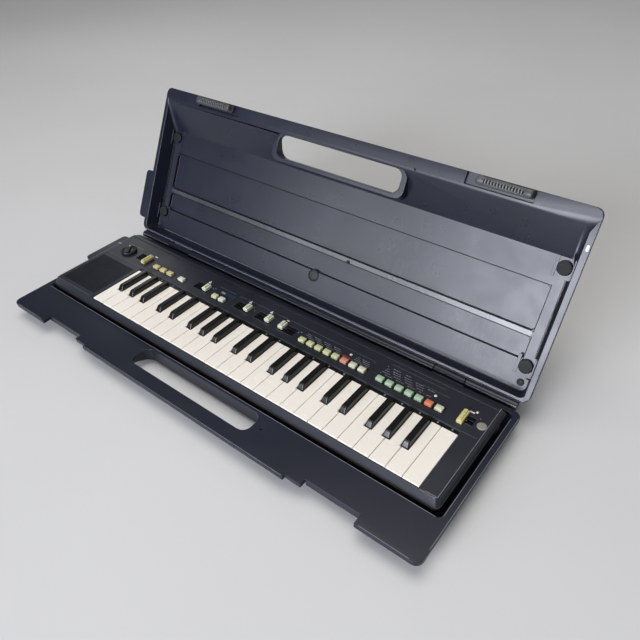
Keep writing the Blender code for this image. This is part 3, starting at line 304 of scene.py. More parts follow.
knob_paint = moulded("knob_black", (0.007, 0.007, 0.0075), 0.38, grain=0.01, grain_size=0.4)
# Near-black and dark green low-gloss paints, used only as painted shade: in recesses, grooves, a
# slot, a hole, the latch grooves and round the button caps
painted_shade_paint = moulded("painted_shade_black", (0.003, 0.003, 0.0035), 0.60, grain=0.01, grain_size=0.5,
                     specular=0.08)
shade_paint = moulded("painted_shade_green", (0.004, 0.018, 0.007), 0.60, grain=0.01, grain_size=0.5,
                      specular=0.08)
gloss_paint = moulded("strip_gloss", (0.004, 0.004, 0.005), 0.30, grain=0.003, grain_size=0.8,
                      specular=0.2)
print_paint = moulded("print_white", (0.60, 0.61, 0.60), 0.5, tint=0.10, grain=0.004)
tick_paint = moulded("print_tick", (0.16, 0.165, 0.17), 0.5, tint=0.20, grain=0.004)
# Pale grey for painted highlight lines along edges of the housing, the base and the lid
painted_highlight_paint = moulded("painted_highlight_grey", (0.20, 0.21, 0.235), 0.34, tint=0.20, grain=0.004)
# A paler navy as a painted sheen on the lid's band between the panels
band_sheen_paint = moulded("lid_band_sheen", (0.042, 0.044, 0.052), 0.26, tint=0.20, grain=0.010,
                     specular=0.62)
faint_paint = moulded("print_faint", (0.20, 0.21, 0.23), 0.5, tint=0.25, grain=0.004)
# Grey for painted highlights along edges, and for the printed bracket lines
highlight_and_print_paint = moulded("highlight_and_print_grey", (0.085, 0.090, 0.105), 0.36, tint=0.25, grain=0.004)
# An orange tint used only as painted shade round the yellow caps
orange_shade_paint = moulded("orange_painted_shade", (0.20, 0.075, 0.020), 0.5, tint=0.25, grain=0.004)
blue_paint = moulded("print_blue", (0.006, 0.017, 0.040), 0.45, tint=0.2, grain=0.004)
# A green tint used only as painted shade behind the green caps
green_shade_paint = moulded("green_painted_shade", (0.030, 0.110, 0.050), 0.45, tint=0.2, grain=0.004)
# Red for the painted shade behind the salmon cap and for the small red light
red_paint = moulded("red_shade_and_led", (0.20, 0.030, 0.016), 0.45, tint=0.2, grain=0.004)
lens_paint = moulded("lens_beige", (0.22, 0.21, 0.175), 0.34, tint=0.10, grain=0.02,
                     grain_size=0.6, dust=0.1)


# Mesh helpers
def new_object(name, built, material, smooth_angle=35.0):
    mesh = bpy.data.meshes.new(name)
    bmesh.ops.recalc_face_normals(built, faces=built.faces)
    built.to_mesh(mesh)
    built.free()
    obj = bpy.data.objects.new(name, mesh)
    bpy.context.scene.collection.objects.link(obj)
    mesh.materials.append(material)
    mesh.shade_smooth()
    mesh.set_sharp_from_angle(angle=math.radians(smooth_angle))
    return obj


def add_edges(obj, width, segments=2, angle=50.0):
    """Rounds the edges that are sharper than the angle."""
    bevel = obj.modifiers.new("edges", "BEVEL")
    bevel.width = width
    bevel.segments = segments
    bevel.limit_method = "ANGLE"
    bevel.angle_limit = math.radians(angle)
    bevel.use_clamp_overlap = False
    bevel.miter_outer = "MITER_ARC"
    weighted = obj.modifiers.new("normals", "WEIGHTED_NORMAL")
    weighted.keep_sharp = True


def clean_mesh(node, join=True, spread=0.0):
    """A copy of a node's mesh, its flat faces joined again and its sides moved outward."""
    built = bmesh.new()
    built.from_mesh(frame["nodes"][node].data)
    bmesh.ops.remove_doubles(built, verts=built.verts, dist=0.002 * MM)
    if join:
        bmesh.ops.dissolve_limit(built, angle_limit=math.radians(0.5),
                                 verts=built.verts, edges=built.edges)
    if spread:
        built.normal_update()
        for vertex in built.verts:
            if abs(vertex.normal.x) > 0.25:
                vertex.co.x += math.copysign(spread, vertex.normal.x)
    return built


def refined(node, material, width, segments, angle, smooth=50.0, join=True, spread=0.0):
    """A rounder copy of a node, in its place and on its body."""
    obj = new_object(f"{node}_skin", clean_mesh(node, join, spread), material, smooth)
    for layer in [a.name for a in obj.data.attributes if a.name == "custom_normal"]:
        obj.data.attributes.remove(obj.data.attributes[layer])
    add_edges(obj, width, segments, angle)
    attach(obj, body_of[node])
    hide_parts(node)
    return obj


def add_rings(built, rings):
    """Joins rings of equally many points, and closes both ends."""
    loops = [[built.verts.new(p) for p in ring] for ring in rings]
    for low, high in zip(loops, loops[1:]):
        for i, vertex in enumerate(low):
            j = (i + 1) % len(low)
            built.faces.new((vertex, low[j], high[j], high[i]))
    built.faces.new(list(reversed(loops[0])))
    built.faces.new(loops[-1])


def rounded(x0, x1, y0, y1, radius, steps=4):
    """The outline of a rectangle with rounded corners."""
    radius = max(min(radius, 0.49 * (x1 - x0), 0.49 * (y1 - y0)), 0.01 * MM)
    points = []
    for cx, cy, start in ((x1 - radius, y0 + radius, -90), (x1 - radius, y1 - radius, 0),
                          (x0 + radius, y1 - radius, 90), (x0 + radius, y0 + radius, 180)):
        for step in range(steps + 1):
            angle = math.radians(start + 90 * step / steps)
            points.append((cx + radius * math.cos(angle), cy + radius * math.sin(angle)))
    return points


def circle(x, y, radius, steps=32):
    turns = [2 * math.pi * step / steps for step in range(steps)]
    return [(x + radius * math.cos(a), y + radius * math.sin(a)) for a in turns]


def lifted(outline, z):
    return [(x, y, z) for x, y in outline]


def domed(x0, x1, y0, y1, low, high, corner, edge, crown, steps=4):
    """Rings of a cap with a rounded edge and a crowned top."""

    def ring(shrink, z):
        inner = rounded(x0 + shrink, x1 - shrink, y0 + shrink, y1 - shrink, corner, steps)
        return lifted(inner, z)

    rings = [ring(0.0, low)]
    for turn in (0, 25, 50, 75):
        angle = math.radians(turn)
        shrink = edge * (1 - math.cos(angle))
        rings.append(ring(shrink, high - crown - edge + edge * math.sin(angle)))
    half = min(x1 - x0, y1 - y0) / 2
    for share in (0.45, 0.75, 0.93):
        rings.append(ring(edge + (half - edge) * share, high - crown * (1 - share) ** 2))
    return rings


def blocks(name, boxes, material, body, place=None, edge=0.0):
    """Small flat boxes (x0, x1, y0, y1, z0, z1) as one piece."""
    built = bmesh.new()
    for x0, x1, y0, y1, z0, z1 in boxes:
        corners = [(x0, y0), (x1, y0), (x1, y1), (x0, y1)]
        add_rings(built, [lifted(corners, z0), lifted(corners, z1)])
    if place is not None:
        bmesh.ops.transform(built, matrix=place, verts=built.verts)
    obj = new_object(name, built, material)
    if edge:
        add_edges(obj, edge)
    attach(obj, body)
    return obj


def placed(x_axis, y_axis, z_axis, origin):
    """The matrix that takes the world's axes and origin to these."""
    matrix = Matrix.Identity(4)
    for row in range(3):
        matrix[row][:3] = x_axis[row], y_axis[row], z_axis[row]
    matrix.translation = origin
    return matrix


def lid_matrix(x, reach, lift):
    """Takes a piece modelled at the origin, its face up, onto the open lid's inner side."""
    return placed(Vector((1.0, 0.0, 0.0)), LID_S, LID_N, lid_at(x, reach, lift))


# Keys
for name in white_names:
    refined(name, white_paint, 0.45 * MM, 3, 40.0, 40.0, spread=0.13 * MM)
for name in black_names:
    refined(name, black_paint, 0.55 * MM, 3, 30.0, 45.0)

# Housing and case
refined("upper_case", housing_paint, 0.20 * MM, 2, 60.0, join=False)
refined("lower_case", lower_paint, 0.4 * MM, 2, 60.0, join=False)
refined("case_base", case_paint, 0.70 * MM, 3, 60.0, join=False)
refined("case_lid", lid_paint, 0.70 * MM, 3, 60.0, join=False)
for name in ("latch_left", "latch_right"):
    refined(name, latch_paint, 0.5 * MM, 3, 40.0)


# Buttons
# More than a cap's width, and less than the distance between caps
CAP_REACH = 12.4 * MM
BUTTON_COLOURS = {
    "button_bank_left": ["yellow", "yellow", "yellow", "white", "pale", "white"],
    "button_bank_middle": ["lime"] * 5 + ["salmon", "cream", "cream"],
    "button_bank_right": ["green"] * 5 + ["red", "cream"],
}
COLOURS = {
    "yellow": (0.50, 0.43, 0.22),
    "white": (0.56, 0.58, 0.50),
    "pale": (0.50, 0.52, 0.33),
    "lime": (0.49, 0.50, 0.29),
    "green": (0.33, 0.44, 0.31),
    "salmon": (0.50, 0.22, 0.16),
    "red": (0.55, 0.16, 0.08),
    "cream": (0.55, 0.54, 0.40),
}
button_paints = {
    name: moulded(f"button_{name}", colour, 0.36, tint=0.06, grain=0.006, dust=0.10)
    for name, colour in COLOURS.items()
}


def cap_spans(node):
    """The x span of each cap of a button bank, and the caps' shared y span and top."""
    points = [v.co for v in frame["nodes"][node].data.vertices if v.co.z > KEY_TOP]
    xs = sorted({round(p.x, 5) for p in points})
    groups = [[xs[0]]]
    for x in xs[1:]:
        if x - groups[-1][0] > CAP_REACH:
            groups.append([x])
        else:
            groups[-1].append(x)
    ys = [p.y for p in points]
    return [(g[0], g[-1]) for g in groups], min(ys), max(ys), max(p.z for p in points)


def make_buttons(bank):
    """The caps of a bank, the bar that joins them, and a frame of painted shade round each on the
    panel.
    """
    spans, y0, y1, top = cap_spans(bank)
    low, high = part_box(bank)
    body = body_of[bank]
    bar_box = (low.x, high.x, low.y, low.y + 7 * MM, low.z, low.z + 1.6 * MM)
    bar = blocks(f"{bank}_bar", [bar_box], button_paints["cream"], body, edge=0.3 * MM)
    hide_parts(bank)
    front, back = y0 - 0.45 * MM, y1 + 0.45 * MM
    z = (KEY_TOP - 0.3 * MM, KEY_TOP + 0.05 * MM)
    for number, ((x0, x1), colour) in enumerate(zip(spans, BUTTON_COLOURS[bank]), 1):
        built = bmesh.new()
        add_rings(built, domed(x0 + 0.5 * MM, x1 - 0.5 * MM, y0 + 0.3 * MM, y1 - 0.5 * MM,
                               low.z + 0.8 * MM, top - 0.3 * MM, 1.0 * MM, 0.7 * MM, 0.25 * MM))
        cap = new_object(f"{bank}_cap_{number}", built, button_paints[colour], 60)
        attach(cap, body)
        # Painted shade round each cap, where the opening's shadow falls: near-black strips, dark
        # green behind the green caps
        left, right = x0 - 1.2 * MM, x1 + 1.2 * MM
        sides = [
            (left, x0 - 0.45 * MM, front, back, *z),
            (x1 + 0.45 * MM, right, front, back, *z),
            (left, right, back, back + 1.3 * MM, *z),
            (left, right, front - 0.6 * MM, front, *z),
        ]
        blocks(f"{bank}_frame_{number}", sides,
               shade_paint if colour == "green" else painted_shade_paint, body_of["upper_case"])


for bank in BUTTON_COLOURS:
    make_buttons(bank)

# Sliders
yellow_paint = moulded("lever_yellow", (0.52, 0.47, 0.20), 0.36, tint=0.06, grain=0.006, dust=0.12)
cream_paint = moulded("slider_cream", (0.52, 0.53, 0.40), 0.36, tint=0.06, grain=0.006, dust=0.12)


def make_slider(node, material):
    """A cap with a raised, grooved ridge across its top, a stem and a plate."""
    low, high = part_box(node)
    points = [v.co for v in frame["nodes"][node].data.vertices if v.co.z > KEY_TOP]
    x0, x1 = min(p.x for p in points), max(p.x for p in points)
    y0, y1 = min(p.y for p in points), max(p.y for p in points)
    floor = min(p.z for p in points)
    x, y = (x0 + x1) / 2, (y0 + y1) / 2
    shoulder = high.z - 1.7 * MM
    built = bmesh.new()
    add_rings(built, domed(x0, x1, y0, y1, floor, shoulder, 1.0 * MM, 0.8 * MM, 0.1 * MM))
    half = (x1 - x0) * 0.22
    ends = 1.1 * MM
    grooves = 4
    length = (y1 - y0 - 2 * ends) / grooves
    for part in range(grooves):
        start = y0 + ends + part * length + 0.12 * MM
        stop = start + length - 0.24 * MM
        add_rings(built, domed(x - half, x + half, start, stop, shoulder - MM, high.z,
                               0.4 * MM, 0.35 * MM, 0.1 * MM, 2))
    stem = rounded(x - 1.9 * MM, x + 1.9 * MM, y - 1.1 * MM, y + 1.1 * MM, 0.3 * MM, 2)
    add_rings(built, [lifted(stem, low.z + 0.8 * MM), lifted(stem, floor + MM)])
    plate = rounded(x - 4.9 * MM, x + 4.9 * MM, y - 4.9 * MM, y + 4.9 * MM, 0.8 * MM, 3)
    add_rings(built, [lifted(plate, low.z), lifted(plate, low.z + 1.6 * MM)])
    obj = new_object(f"{node}_cap", built, material, 50)
    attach(obj, body_of[node])
    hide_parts(node)


for number in range(1, 6):
    name = f"slider_{number}"
    if number == 1:
        make_slider(name, yellow_paint)
    else:
        make_slider(name, cream_paint)
make_slider("slide_switch", yellow_paint)


# Knob
KNOB_TURN = math.radians(128)


def make_knob():
    """A ribbed skirt with a bar across it, a shaft and a plate, and the bar's pale mark."""
    low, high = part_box("volume_knob")
    x, y = joints["volume_knob_turn"]["pos_m"][:2]
    radius = (high.x - low.x) / 2
    floor = min(v.co.z for v in frame["nodes"]["volume_knob"].data.vertices if v.co.z > KEY_TOP)
    skirt = floor + 3.4 * MM
    built = bmesh.new()
    ribs = 48
    steps = 2 * ribs

    def ring(r, z, rib=0.0):
        points = []
        for step in range(steps):
            angle = 2 * math.pi * step / steps
            reach = r - (rib if step % 2 else 0.0)
            points.append((x + reach * math.cos(angle), y + reach * math.sin(angle), z))
        return points

    rings = [ring(radius - 0.5 * MM, floor), ring(radius, floor + 0.3 * MM, 0.35 * MM),
             ring(radius, skirt - 0.7 * MM, 0.35 * MM),
             ring(radius - 0.35 * MM, skirt - 0.2 * MM, 0.2 * MM),
             ring(radius - 0.9 * MM, skirt), ring(radius - 1.6 * MM, skirt - 0.1 * MM),
             ring(radius - 2.2 * MM, skirt - 0.6 * MM), ring(radius * 0.4, skirt - 0.6 * MM)]
    add_rings(built, rings)
    grip = domed(x - radius + 2.4 * MM, x + radius - 2.4 * MM, y - 2.1 * MM, y + 2.1 * MM,
                 skirt - 1.0 * MM, high.z - 1.2 * MM, 2.0 * MM, 0.6 * MM, 0.25 * MM, 5)
    add_rings(built, grip)
    shaft = (2.9 * MM, low.z + 0.8 * MM, floor + MM)
    plate = (5.4 * MM, low.z, low.z + 1.6 * MM)
    for r, z0, z1 in (shaft, plate):
        outline = circle(x, y, r, 24)
        add_rings(built, [lifted(outline, z0), lifted(outline, z1)])
    knob = new_object("volume_knob_cap", built, knob_paint, 40)
    there, back = Matrix.Translation((x, y, 0)), Matrix.Translation((-x, -y, 0))
    turn = there @ Matrix.Rotation(KNOB_TURN, 4, "Z") @ back
    knob.data.transform(turn)
    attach(knob, body_of["volume_knob"])
    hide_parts("volume_knob")
    mark_box = (x + radius * 0.42, x + radius - 2.7 * MM, y - 0.42 * MM, y + 0.42 * MM,
                high.z - 1.5 * MM, high.z - 1.14 * MM)
    mark = blocks("volume_knob_mark", [mark_box], print_paint, body_of["volume_knob"])
    mark.data.transform(turn)


make_knob()


# Prints, recesses with painted shade, painted highlight lines and lights of the panel
def panel_marks(name, marks, material, rise=0.05):
    """Thin marks on the housing's top: prints, painted shade and painted highlights; marks are x
    and y spans counted in keys.
    """
    boxes = []
    for x0, x1, y0, y1 in marks:
        low, high = on_panel(x0, y0), on_panel(x1, y1)
        z = panel_height((low.x + high.x) / 2, (low.y + high.y) / 2)
        boxes.append((low.x, high.x, low.y, high.y, z - 0.3 * MM, z + rise * MM))
    blocks(name, boxes, material, body_of["upper_case"])


SLOT_HALF = 1.9 * MM
RIM_WIDTH = 0.016


def recess(name, node, left, right, front, back):
    """A well of painted shade around a slider, left open along the slider's slot, with a fine
    painted highlight along its rim.
    """
    low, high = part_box(node)
    y = (low.y + high.y) / 2
    near, far = (y - SLOT_HALF - KEY_FRONT) / KEY_PITCH, (y + SLOT_HALF - KEY_FRONT) / KEY_PITCH
    # Painted shade where the well's hollow is
    panel_marks(name, [(left, right, front, near), (left, right, far, back)], painted_shade_paint, 0.06)
    # A painted highlight along the well's rim
    outer = left - RIM_WIDTH
    rims = [(outer, right + RIM_WIDTH, front - RIM_WIDTH, front), (outer, left, front, near),
            (outer, left, far, back), (outer, right + RIM_WIDTH, back, back + RIM_WIDTH)]
    panel_marks(f"{name}_rim", rims, highlight_and_print_paint, 0.07)


DISC_SINK = 0.4 * MM


def disc(name, place, radius, rise, material, body, crown=0.5):
    """A round, crowned piece; place takes it from the origin, face up, to its seat."""
    built = bmesh.new()
    rings = [lifted(circle(0, 0, radius), -DISC_SINK)]
    for share, height in ((1.0, 1 - crown), (0.93, 1 - 0.35 * crown),
                          (0.72, 1 - 0.08 * crown), (0.35, 1.0)):
        rings.append(lifted(circle(0, 0, radius * share), rise * height))
    add_rings(built, rings)
    bmesh.ops.transform(built, matrix=place, verts=built.verts)
    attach(new_object(name, built, material, 40), body)


def on_housing(x, y):
    point = on_panel(x, y)
    return Matrix.Translation((point.x, point.y, panel_height(point.x, point.y)))


STRIP = (4.04, 4.27)
STRIP_TICKS = (2.3, 3.45, 4.6, 7.4, 8.5, 9.7, 12.3, 13.4, 16.1, 17.3, 18.4,
               21.25, 22.39, 23.53, 24.1, 24.64, 25.52)
panel_marks("front_strip", [(0.06, 25.94, *STRIP)], gloss_paint, 0.10)
panel_marks("strip_ticks", [(x, x + 0.09, 4.13, 4.24) for x in STRIP_TICKS], tick_paint, 0.14)
# A painted highlight along the panel's front edge
panel_marks("panel_front_highlight", [(-4.1, 26.9, 4.335, 4.355)], highlight_and_print_paint, 0.05)
recess("recess_1", "slider_1", -1.52, -0.15, 4.92, 5.66)
recess("recess_2", "slider_2", 4.69, 6.00, 4.93, 5.64)
recess("recess_3", "slider_3", 8.61, 9.92, 4.93, 5.64)
recess("recess_4", "slider_4", 10.50, 11.80, 4.93, 5.64)
recess("recess_5", "slider_5", 12.46, 13.78, 4.93, 5.64)
recess("recess_6", "slide_switch", 25.40, 26.30, 4.96, 5.56)
panel_marks("slider_marks", [(x, x + 0.20, 5.93, 6.03) for x in (5.30, 9.22, 11.10, 12.55)]
       + [(x + 0.06, x + 0.13, 6.06, 6.16) for x in (5.30, 9.22, 11.10)]
       + [(-0.42, -0.12, 5.86, 5.98), (26.02, 26.14, 5.95, 6.10), (25.72, 26.0, 5.84, 5.94)],
       print_paint)
panel_marks("bracket_lines", [(6.38, 7.90, 6.05, 6.075), (8.33, 19.40, 6.10, 6.122),
                         (20.3, 23.9, 6.52, 6.542), (22.6, 24.35, 6.10, 6.122),
                         (8.33, 8.352, 5.9, 6.10), (19.38, 19.40, 5.9, 6.10)], highlight_and_print_paint)
# Painted orange-tinted shade round the three yellow caps
panel_marks("orange_shade_marks", [(0.52, 1.16, 5.28, 5.34), (1.24, 1.88, 5.28, 5.34),
                        (1.96, 2.60, 5.28, 5.34), (0.50, 0.56, 4.9, 5.28),
                        (0.30, 0.46, 4.74, 4.80)], orange_shade_paint)
panel_marks("blue_label", [(7.35, 8.12, 5.50, 5.86)], blue_paint)
panel_marks("pair_label", [(6.86, 7.24, 5.58, 5.76), (-4.36, -4.02, 5.50, 5.66)], faint_paint)
# Painted red-tinted shade on the panel behind the salmon cap
panel_marks("red_shade_patch", [(17.42, 18.02, 5.28, 5.50)], red_paint)
# The first green button's middle, the buttons' distance and the key pitch, in millimetres
GREEN_FIRST, GREEN_PITCH, KEY_MM = 416.2, 13.2, 20.4
green_middles = [(GREEN_FIRST + GREEN_PITCH * i) / KEY_MM for i in range(5)]
# Painted green-tinted shade on the panel just behind each green cap
panel_marks("green_shade_backs", [(x - 0.25, x + 0.25, 5.27, 5.33) for x in green_middles], green_shade_paint)


def dashes(x0, x1, rows, gap):
    """Rows of short dashes of different lengths, as a stand-in for small lettering."""
    found = []
    for row, y in enumerate(rows):
        x, count = x0 + 0.05 * row, row
        while x < x1:
            width = 0.05 + 0.035 * ((count * 7) % 4)
            found.append((x, min(x + width, x1), y, y + 0.036))
            count += 1
            x += width + 0.035 + (gap if (count * 5) % 4 == 1 else 0)
    return found


panel_marks("row_dashes", dashes(14.4, 17.3, (5.43, 5.57, 5.71), 0.20)
       + dashes(18.15, 19.3, (5.40, 5.52, 5.64, 5.78), 0.14)
       + dashes(20.1, 22.9, (5.50, 5.66, 5.84, 6.00), 0.22)
       + dashes(20.2, 21.8, (6.20,), 0.3)
       + dashes(23.0, 23.5, (5.52, 5.95), 0.1)
       + dashes(-3.6, -1.9, (6.0,), 0.12), faint_paint)
SMALL_TICKS = (5.9, 6.1, 6.2, 9.5, 9.66, 9.85, 10.1, 11.45, 11.6, 13.9, 14.05)
panel_marks("small_ticks", [(x, x + 0.07, 5.45 + 0.12 * (n % 3), 5.51 + 0.12 * (n % 3))
                       for n, x in enumerate(SMALL_TICKS)], faint_paint)
for number, (x, y) in enumerate(((17.84, 5.75), (23.65, 5.77)), 1):
    disc(f"light_{number}", on_housing(x, y), 1.7 * MM, 0.9 * MM, print_paint,
         body_of["upper_case"])
disc("light_red", on_housing(26.44, 5.70), 0.9 * MM, 0.5 * MM, red_paint, body_of["upper_case"])
disc("lens", on_housing(26.72, 5.27), 5.6 * MM, 0.8 * MM, lens_paint, body_of["upper_case"])


def in_keys(x, y):
    """A place in metres, counted in keys from the keys' left end and from their fronts."""
    return (x - KEY_LEFT) / KEY_PITCH, (y - KEY_FRONT) / KEY_PITCH


# Painted highlight lines along the outer edges of the housing's top
left_edge, front_edge = in_keys(top_low.x + 4.3 * MM, top_low.y + 4.9 * MM)
right_edge, rear_edge = in_keys(top_high.x - 4.3 * MM, top_high.y - 6.6 * MM)
panel_marks("cheek_edge_highlights", [(right_edge - 0.024, right_edge, front_edge, rear_edge),
                       (left_edge, left_edge + 0.02, front_edge, rear_edge),
                       (26.35, right_edge, front_edge, front_edge + 0.02),
                       (left_edge, -0.35, front_edge, front_edge + 0.02)], painted_highlight_paint, 0.05)


def base_top(x, y):
    """The point of the base's upper side at a place, or None beside the base."""
    return surface("case_base", Vector((x, y, BASE_RAY)), DOWN)


EDGE_STEP = 0.2


def base_edge(x, y, step_x, step_y):
    """How far the flat rim of the base goes on from a place before it drops."""
    start = base_top(x, y).z
    for step in range(1, 400):
        hit = base_top(x + step * step_x * EDGE_STEP * MM, y + step * step_y * EDGE_STEP * MM)
        if hit is None or hit.z < start - 0.2 * MM:
            return (step - 1) * EDGE_STEP * MM
    return 0.0


def base_strips(name, strips, material, rise=0.08):
    """Flat strips on the rim of the base (x0, x1, y0, y1 in metres)."""
    boxes = []
    for x0, x1, y0, y1 in strips:
        z = base_top((x0 + x1) / 2, (y0 + y1) / 2).z
        boxes.append((x0, x1, y0, y1, z - 0.2 * MM, z + rise * MM))
    blocks(name, boxes, material, body_of["case_base"])


rim_start = CASE_HALF - 3 * MM
inner_rim = rim_start - base_edge(rim_start, 0.0, -1, 0)
land_start = CASE_FRONT + 30 * MM
land_back = land_start + base_edge(0.28, land_start, 0, 1)
lip_line = (CASE_FRONT + 0.8 * MM, CASE_FRONT + 1.3 * MM)
# Where the front lip runs on between the latch recesses, and beside them
LIP_INNER, LIP_OUTER = 0.171, 0.269
# Painted highlight lines along the edges of the base's rim, land and front lip
base_strips("base_rim_highlights", [
    (inner_rim + 0.1 * MM, inner_rim + 0.6 * MM, land_back + 4 * MM, 0.100),
    (CASE_HALF - 1.2 * MM, CASE_HALF - 0.7 * MM, CASE_FRONT + 20 * MM, 0.105),
    (-CASE_HALF + 12 * MM, CASE_HALF - 14 * MM, land_back - 0.6 * MM, land_back - 0.1 * MM),
    (LIP_OUTER, CASE_HALF - 12 * MM, *lip_line),
    (-LIP_INNER, LIP_INNER, *lip_line),
    (-CASE_HALF + 12 * MM, -LIP_OUTER, *lip_line),
], painted_highlight_paint)


# Small pieces of the lid
def on_lid(x, reach):
    return lid_matrix(x * MM, reach * MM, lid_lift(x * MM, reach * MM))


def lid_disc(name, x, reach, radius, rise, material, crown=0.5):
    disc(name, on_lid(x, reach), radius * MM, rise * MM, material, body_of["case_lid"], crown)


def screw(name, x, reach, radius):
    """A dark ring and a slotted head in it, the slot a near-black box of painted shade."""
    lid_disc(f"{name}_ring", x, reach, radius, 0.5, rubber_paint)
    lid_disc(f"{name}_head", x, reach, radius * 0.45, 0.9, plug_paint)
    # A near-black box across the head: painted shade in the slot
    half = radius * 0.36 * MM
    slot = (-half, half, -0.3 * MM, 0.3 * MM, 0.5 * MM, 0.93 * MM)
    blocks(f"{name}_slot", [slot], painted_shade_paint, body_of["case_lid"], on_lid(x, reach))


LID_SINK = 0.3


def lid_strips(name, strips, material, rise=0.1, edge=0.0):
    """Flat strips on the surface of the lid's inner side (x0, x1, s0, s1 in millimetres)."""
    boxes = []
    for x0, x1, s0, s1 in strips:
        lift = lid_lift((x0 + x1) / 2 * MM, (s0 + s1) / 2 * MM)
        boxes.append((x0 * MM, x1 * MM, s0 * MM, s1 * MM, lift - LID_SINK * MM, lift + rise * MM))
    blocks(name, boxes, material, body_of["case_lid"], lid_matrix(0.0, 0.0, 0.0), edge)


def lid_spans(reach, lift_low, lift_high):
    """The x spans, in millimetres, where the lid's inner side lies between two lifts."""
    found, start = [], None
    for x in range(-334, 336):
        hit = surface("case_lid", lid_at(x * MM, reach * MM, LID_RAY), -LID_N)
        inside = hit is not None and lift_low < (hit - HINGE).dot(LID_N) / MM < lift_high
        if inside and start is None:
            start = x
        if not inside and start is not None:
            if x - start > 6:
                found.append((start + 1, x - 2))
            start = None
    return found


PAD_X, PAD_NEAR, PAD_FAR = 316.4, 42.6, 163.8
for side, x in (("left", -PAD_X), ("right", PAD_X)):
    for end, reach in (("near", PAD_NEAR), ("far", PAD_FAR)):
        lid_disc(f"pad_{side}_{end}", x, reach, 7.9, 0.25, rubber_paint)
pad_seats = [(x, reach) for x in (-PAD_X, PAD_X) for reach in (PAD_NEAR, PAD_FAR)]
lid_strips("pad_plates", [(x - 12.5 + 0.2, x - 8.6, r - 12, r + 12) for x, r in pad_seats]
           + [(x + 8.6, x + 11.0, r - 12, r + 12) for x, r in pad_seats],
           lid_paint, 0.7, 0.25 * MM)
lid_disc("lid_plug_ring", 0.0, 42.0, 9.0, 0.5, rubber_paint)
lid_disc("lid_plug", 0.0, 42.0, 7.0, 1.0, plug_paint)
screw("lid_screw_right", 317.0, 22.0, 4.6)
screw("lid_screw_left", -317.0, 22.0, 3.4)
screw("lid_screw_middle", 48.5, 78.5, 2.8)
GROOVE_X, RIDGE_X = 324.2, 321.9
for side, name in ((-1, "left"), (1, "right")):
    spans = ((28, 30), (55, 151), (176, 190)) if side > 0 else ((55, 151),)
    # Near-black strips as painted shade in the gap between the floor and each side wall
    grooves = [(side * GROOVE_X - 1.3, side * GROOVE_X + 1.3, s0, s1) for s0, s1 in spans]
    lid_strips(f"lid_groove_shade_{name}", grooves, painted_shade_paint, 0.06)
    ridges = [(side * RIDGE_X - 0.5, side * RIDGE_X + 0.5, s0, s1) for s0, s1 in spans]
    lid_strips(f"lid_ridge_{name}", ridges, lid_paint, 1.2, 0.3 * MM)
# The line of painted shade round each of the floor's two deeper panels
LINE = 0.9
shade_lines = []
for s0, s1 in ((84.7, 140.4), (49.0, 76.5)):
    shade_lines += [(-310.4, 310.4, s0 - LINE, s0 - 0.1), (-310.4, 310.4, s1 + 0.1, s1 + LINE),
                 (-310.4, -309.6, s0 - 0.1, s1 + 0.1), (309.6, 310.4, s0 - 0.1, s1 + 0.1)]
lid_strips("panel_shade_lines", shade_lines, painted_shade_paint, 0.05)
# The raised band between the panels, paler as a painted sheen
lid_strips("panel_band", [(-309.0, 309.0, 77.6, 83.6)], band_sheen_paint, 0.25, 0.15 * MM)
# Painted highlight lines along the barrels' tops, along the rim's edge, and where the floor bends
# up to the rear wall
barrels = lid_spans(0.5, 4.0, 7.0)
lid_strips("barrel_highlights", [(x0, x1, 0.2, 0.9) for x0, x1 in barrels], painted_highlight_paint, 0.12)
rims = lid_spans(8.2, -1.5, 1.0)
lid_strips("rim_highlights", [(x0, x1, 7.9, 8.5) for x0, x1 in rims], painted_highlight_paint, 0.12)
lid_strips("floor_highlight", [(-308.0, 308.0, 14.0, 14.6)], painted_highlight_paint, 0.10)
chip = bmesh.new()
chip_outline = rounded(-1.5 * MM, 1.5 * MM, -3.6 * MM, 3.6 * MM, 1.4 * MM)
add_rings(chip, [lifted(chip_outline, -0.3 * MM), lifted(chip_outline, 0.08 * MM)])
bmesh.ops.transform(chip, matrix=on_lid(334.6, 192.6), verts=chip.verts)
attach(new_object("lid_chip", chip, print_paint), body_of["case_lid"])
# A hole, drawn as a shallow near-black disc of painted shade
lid_disc("lid_hole_shade", 114.6, 220.5, 1.5, 0.05, painted_shade_paint)


# Ribbed grips of the latches
# The grip's middle line and half width across the lid, its core's height and its foot's, and
# the ribs' pitch, in millimetres
GRIP_REACH, GRIP_HALF = 229.6, 5.0
GRIP_LIFT, GRIP_ROUND, GRIP_FOOT = 7.0, 3.3, 6.7
RIBS, RIB_PITCH = 13, 3.6
LATCH_X = 229.0 * MM


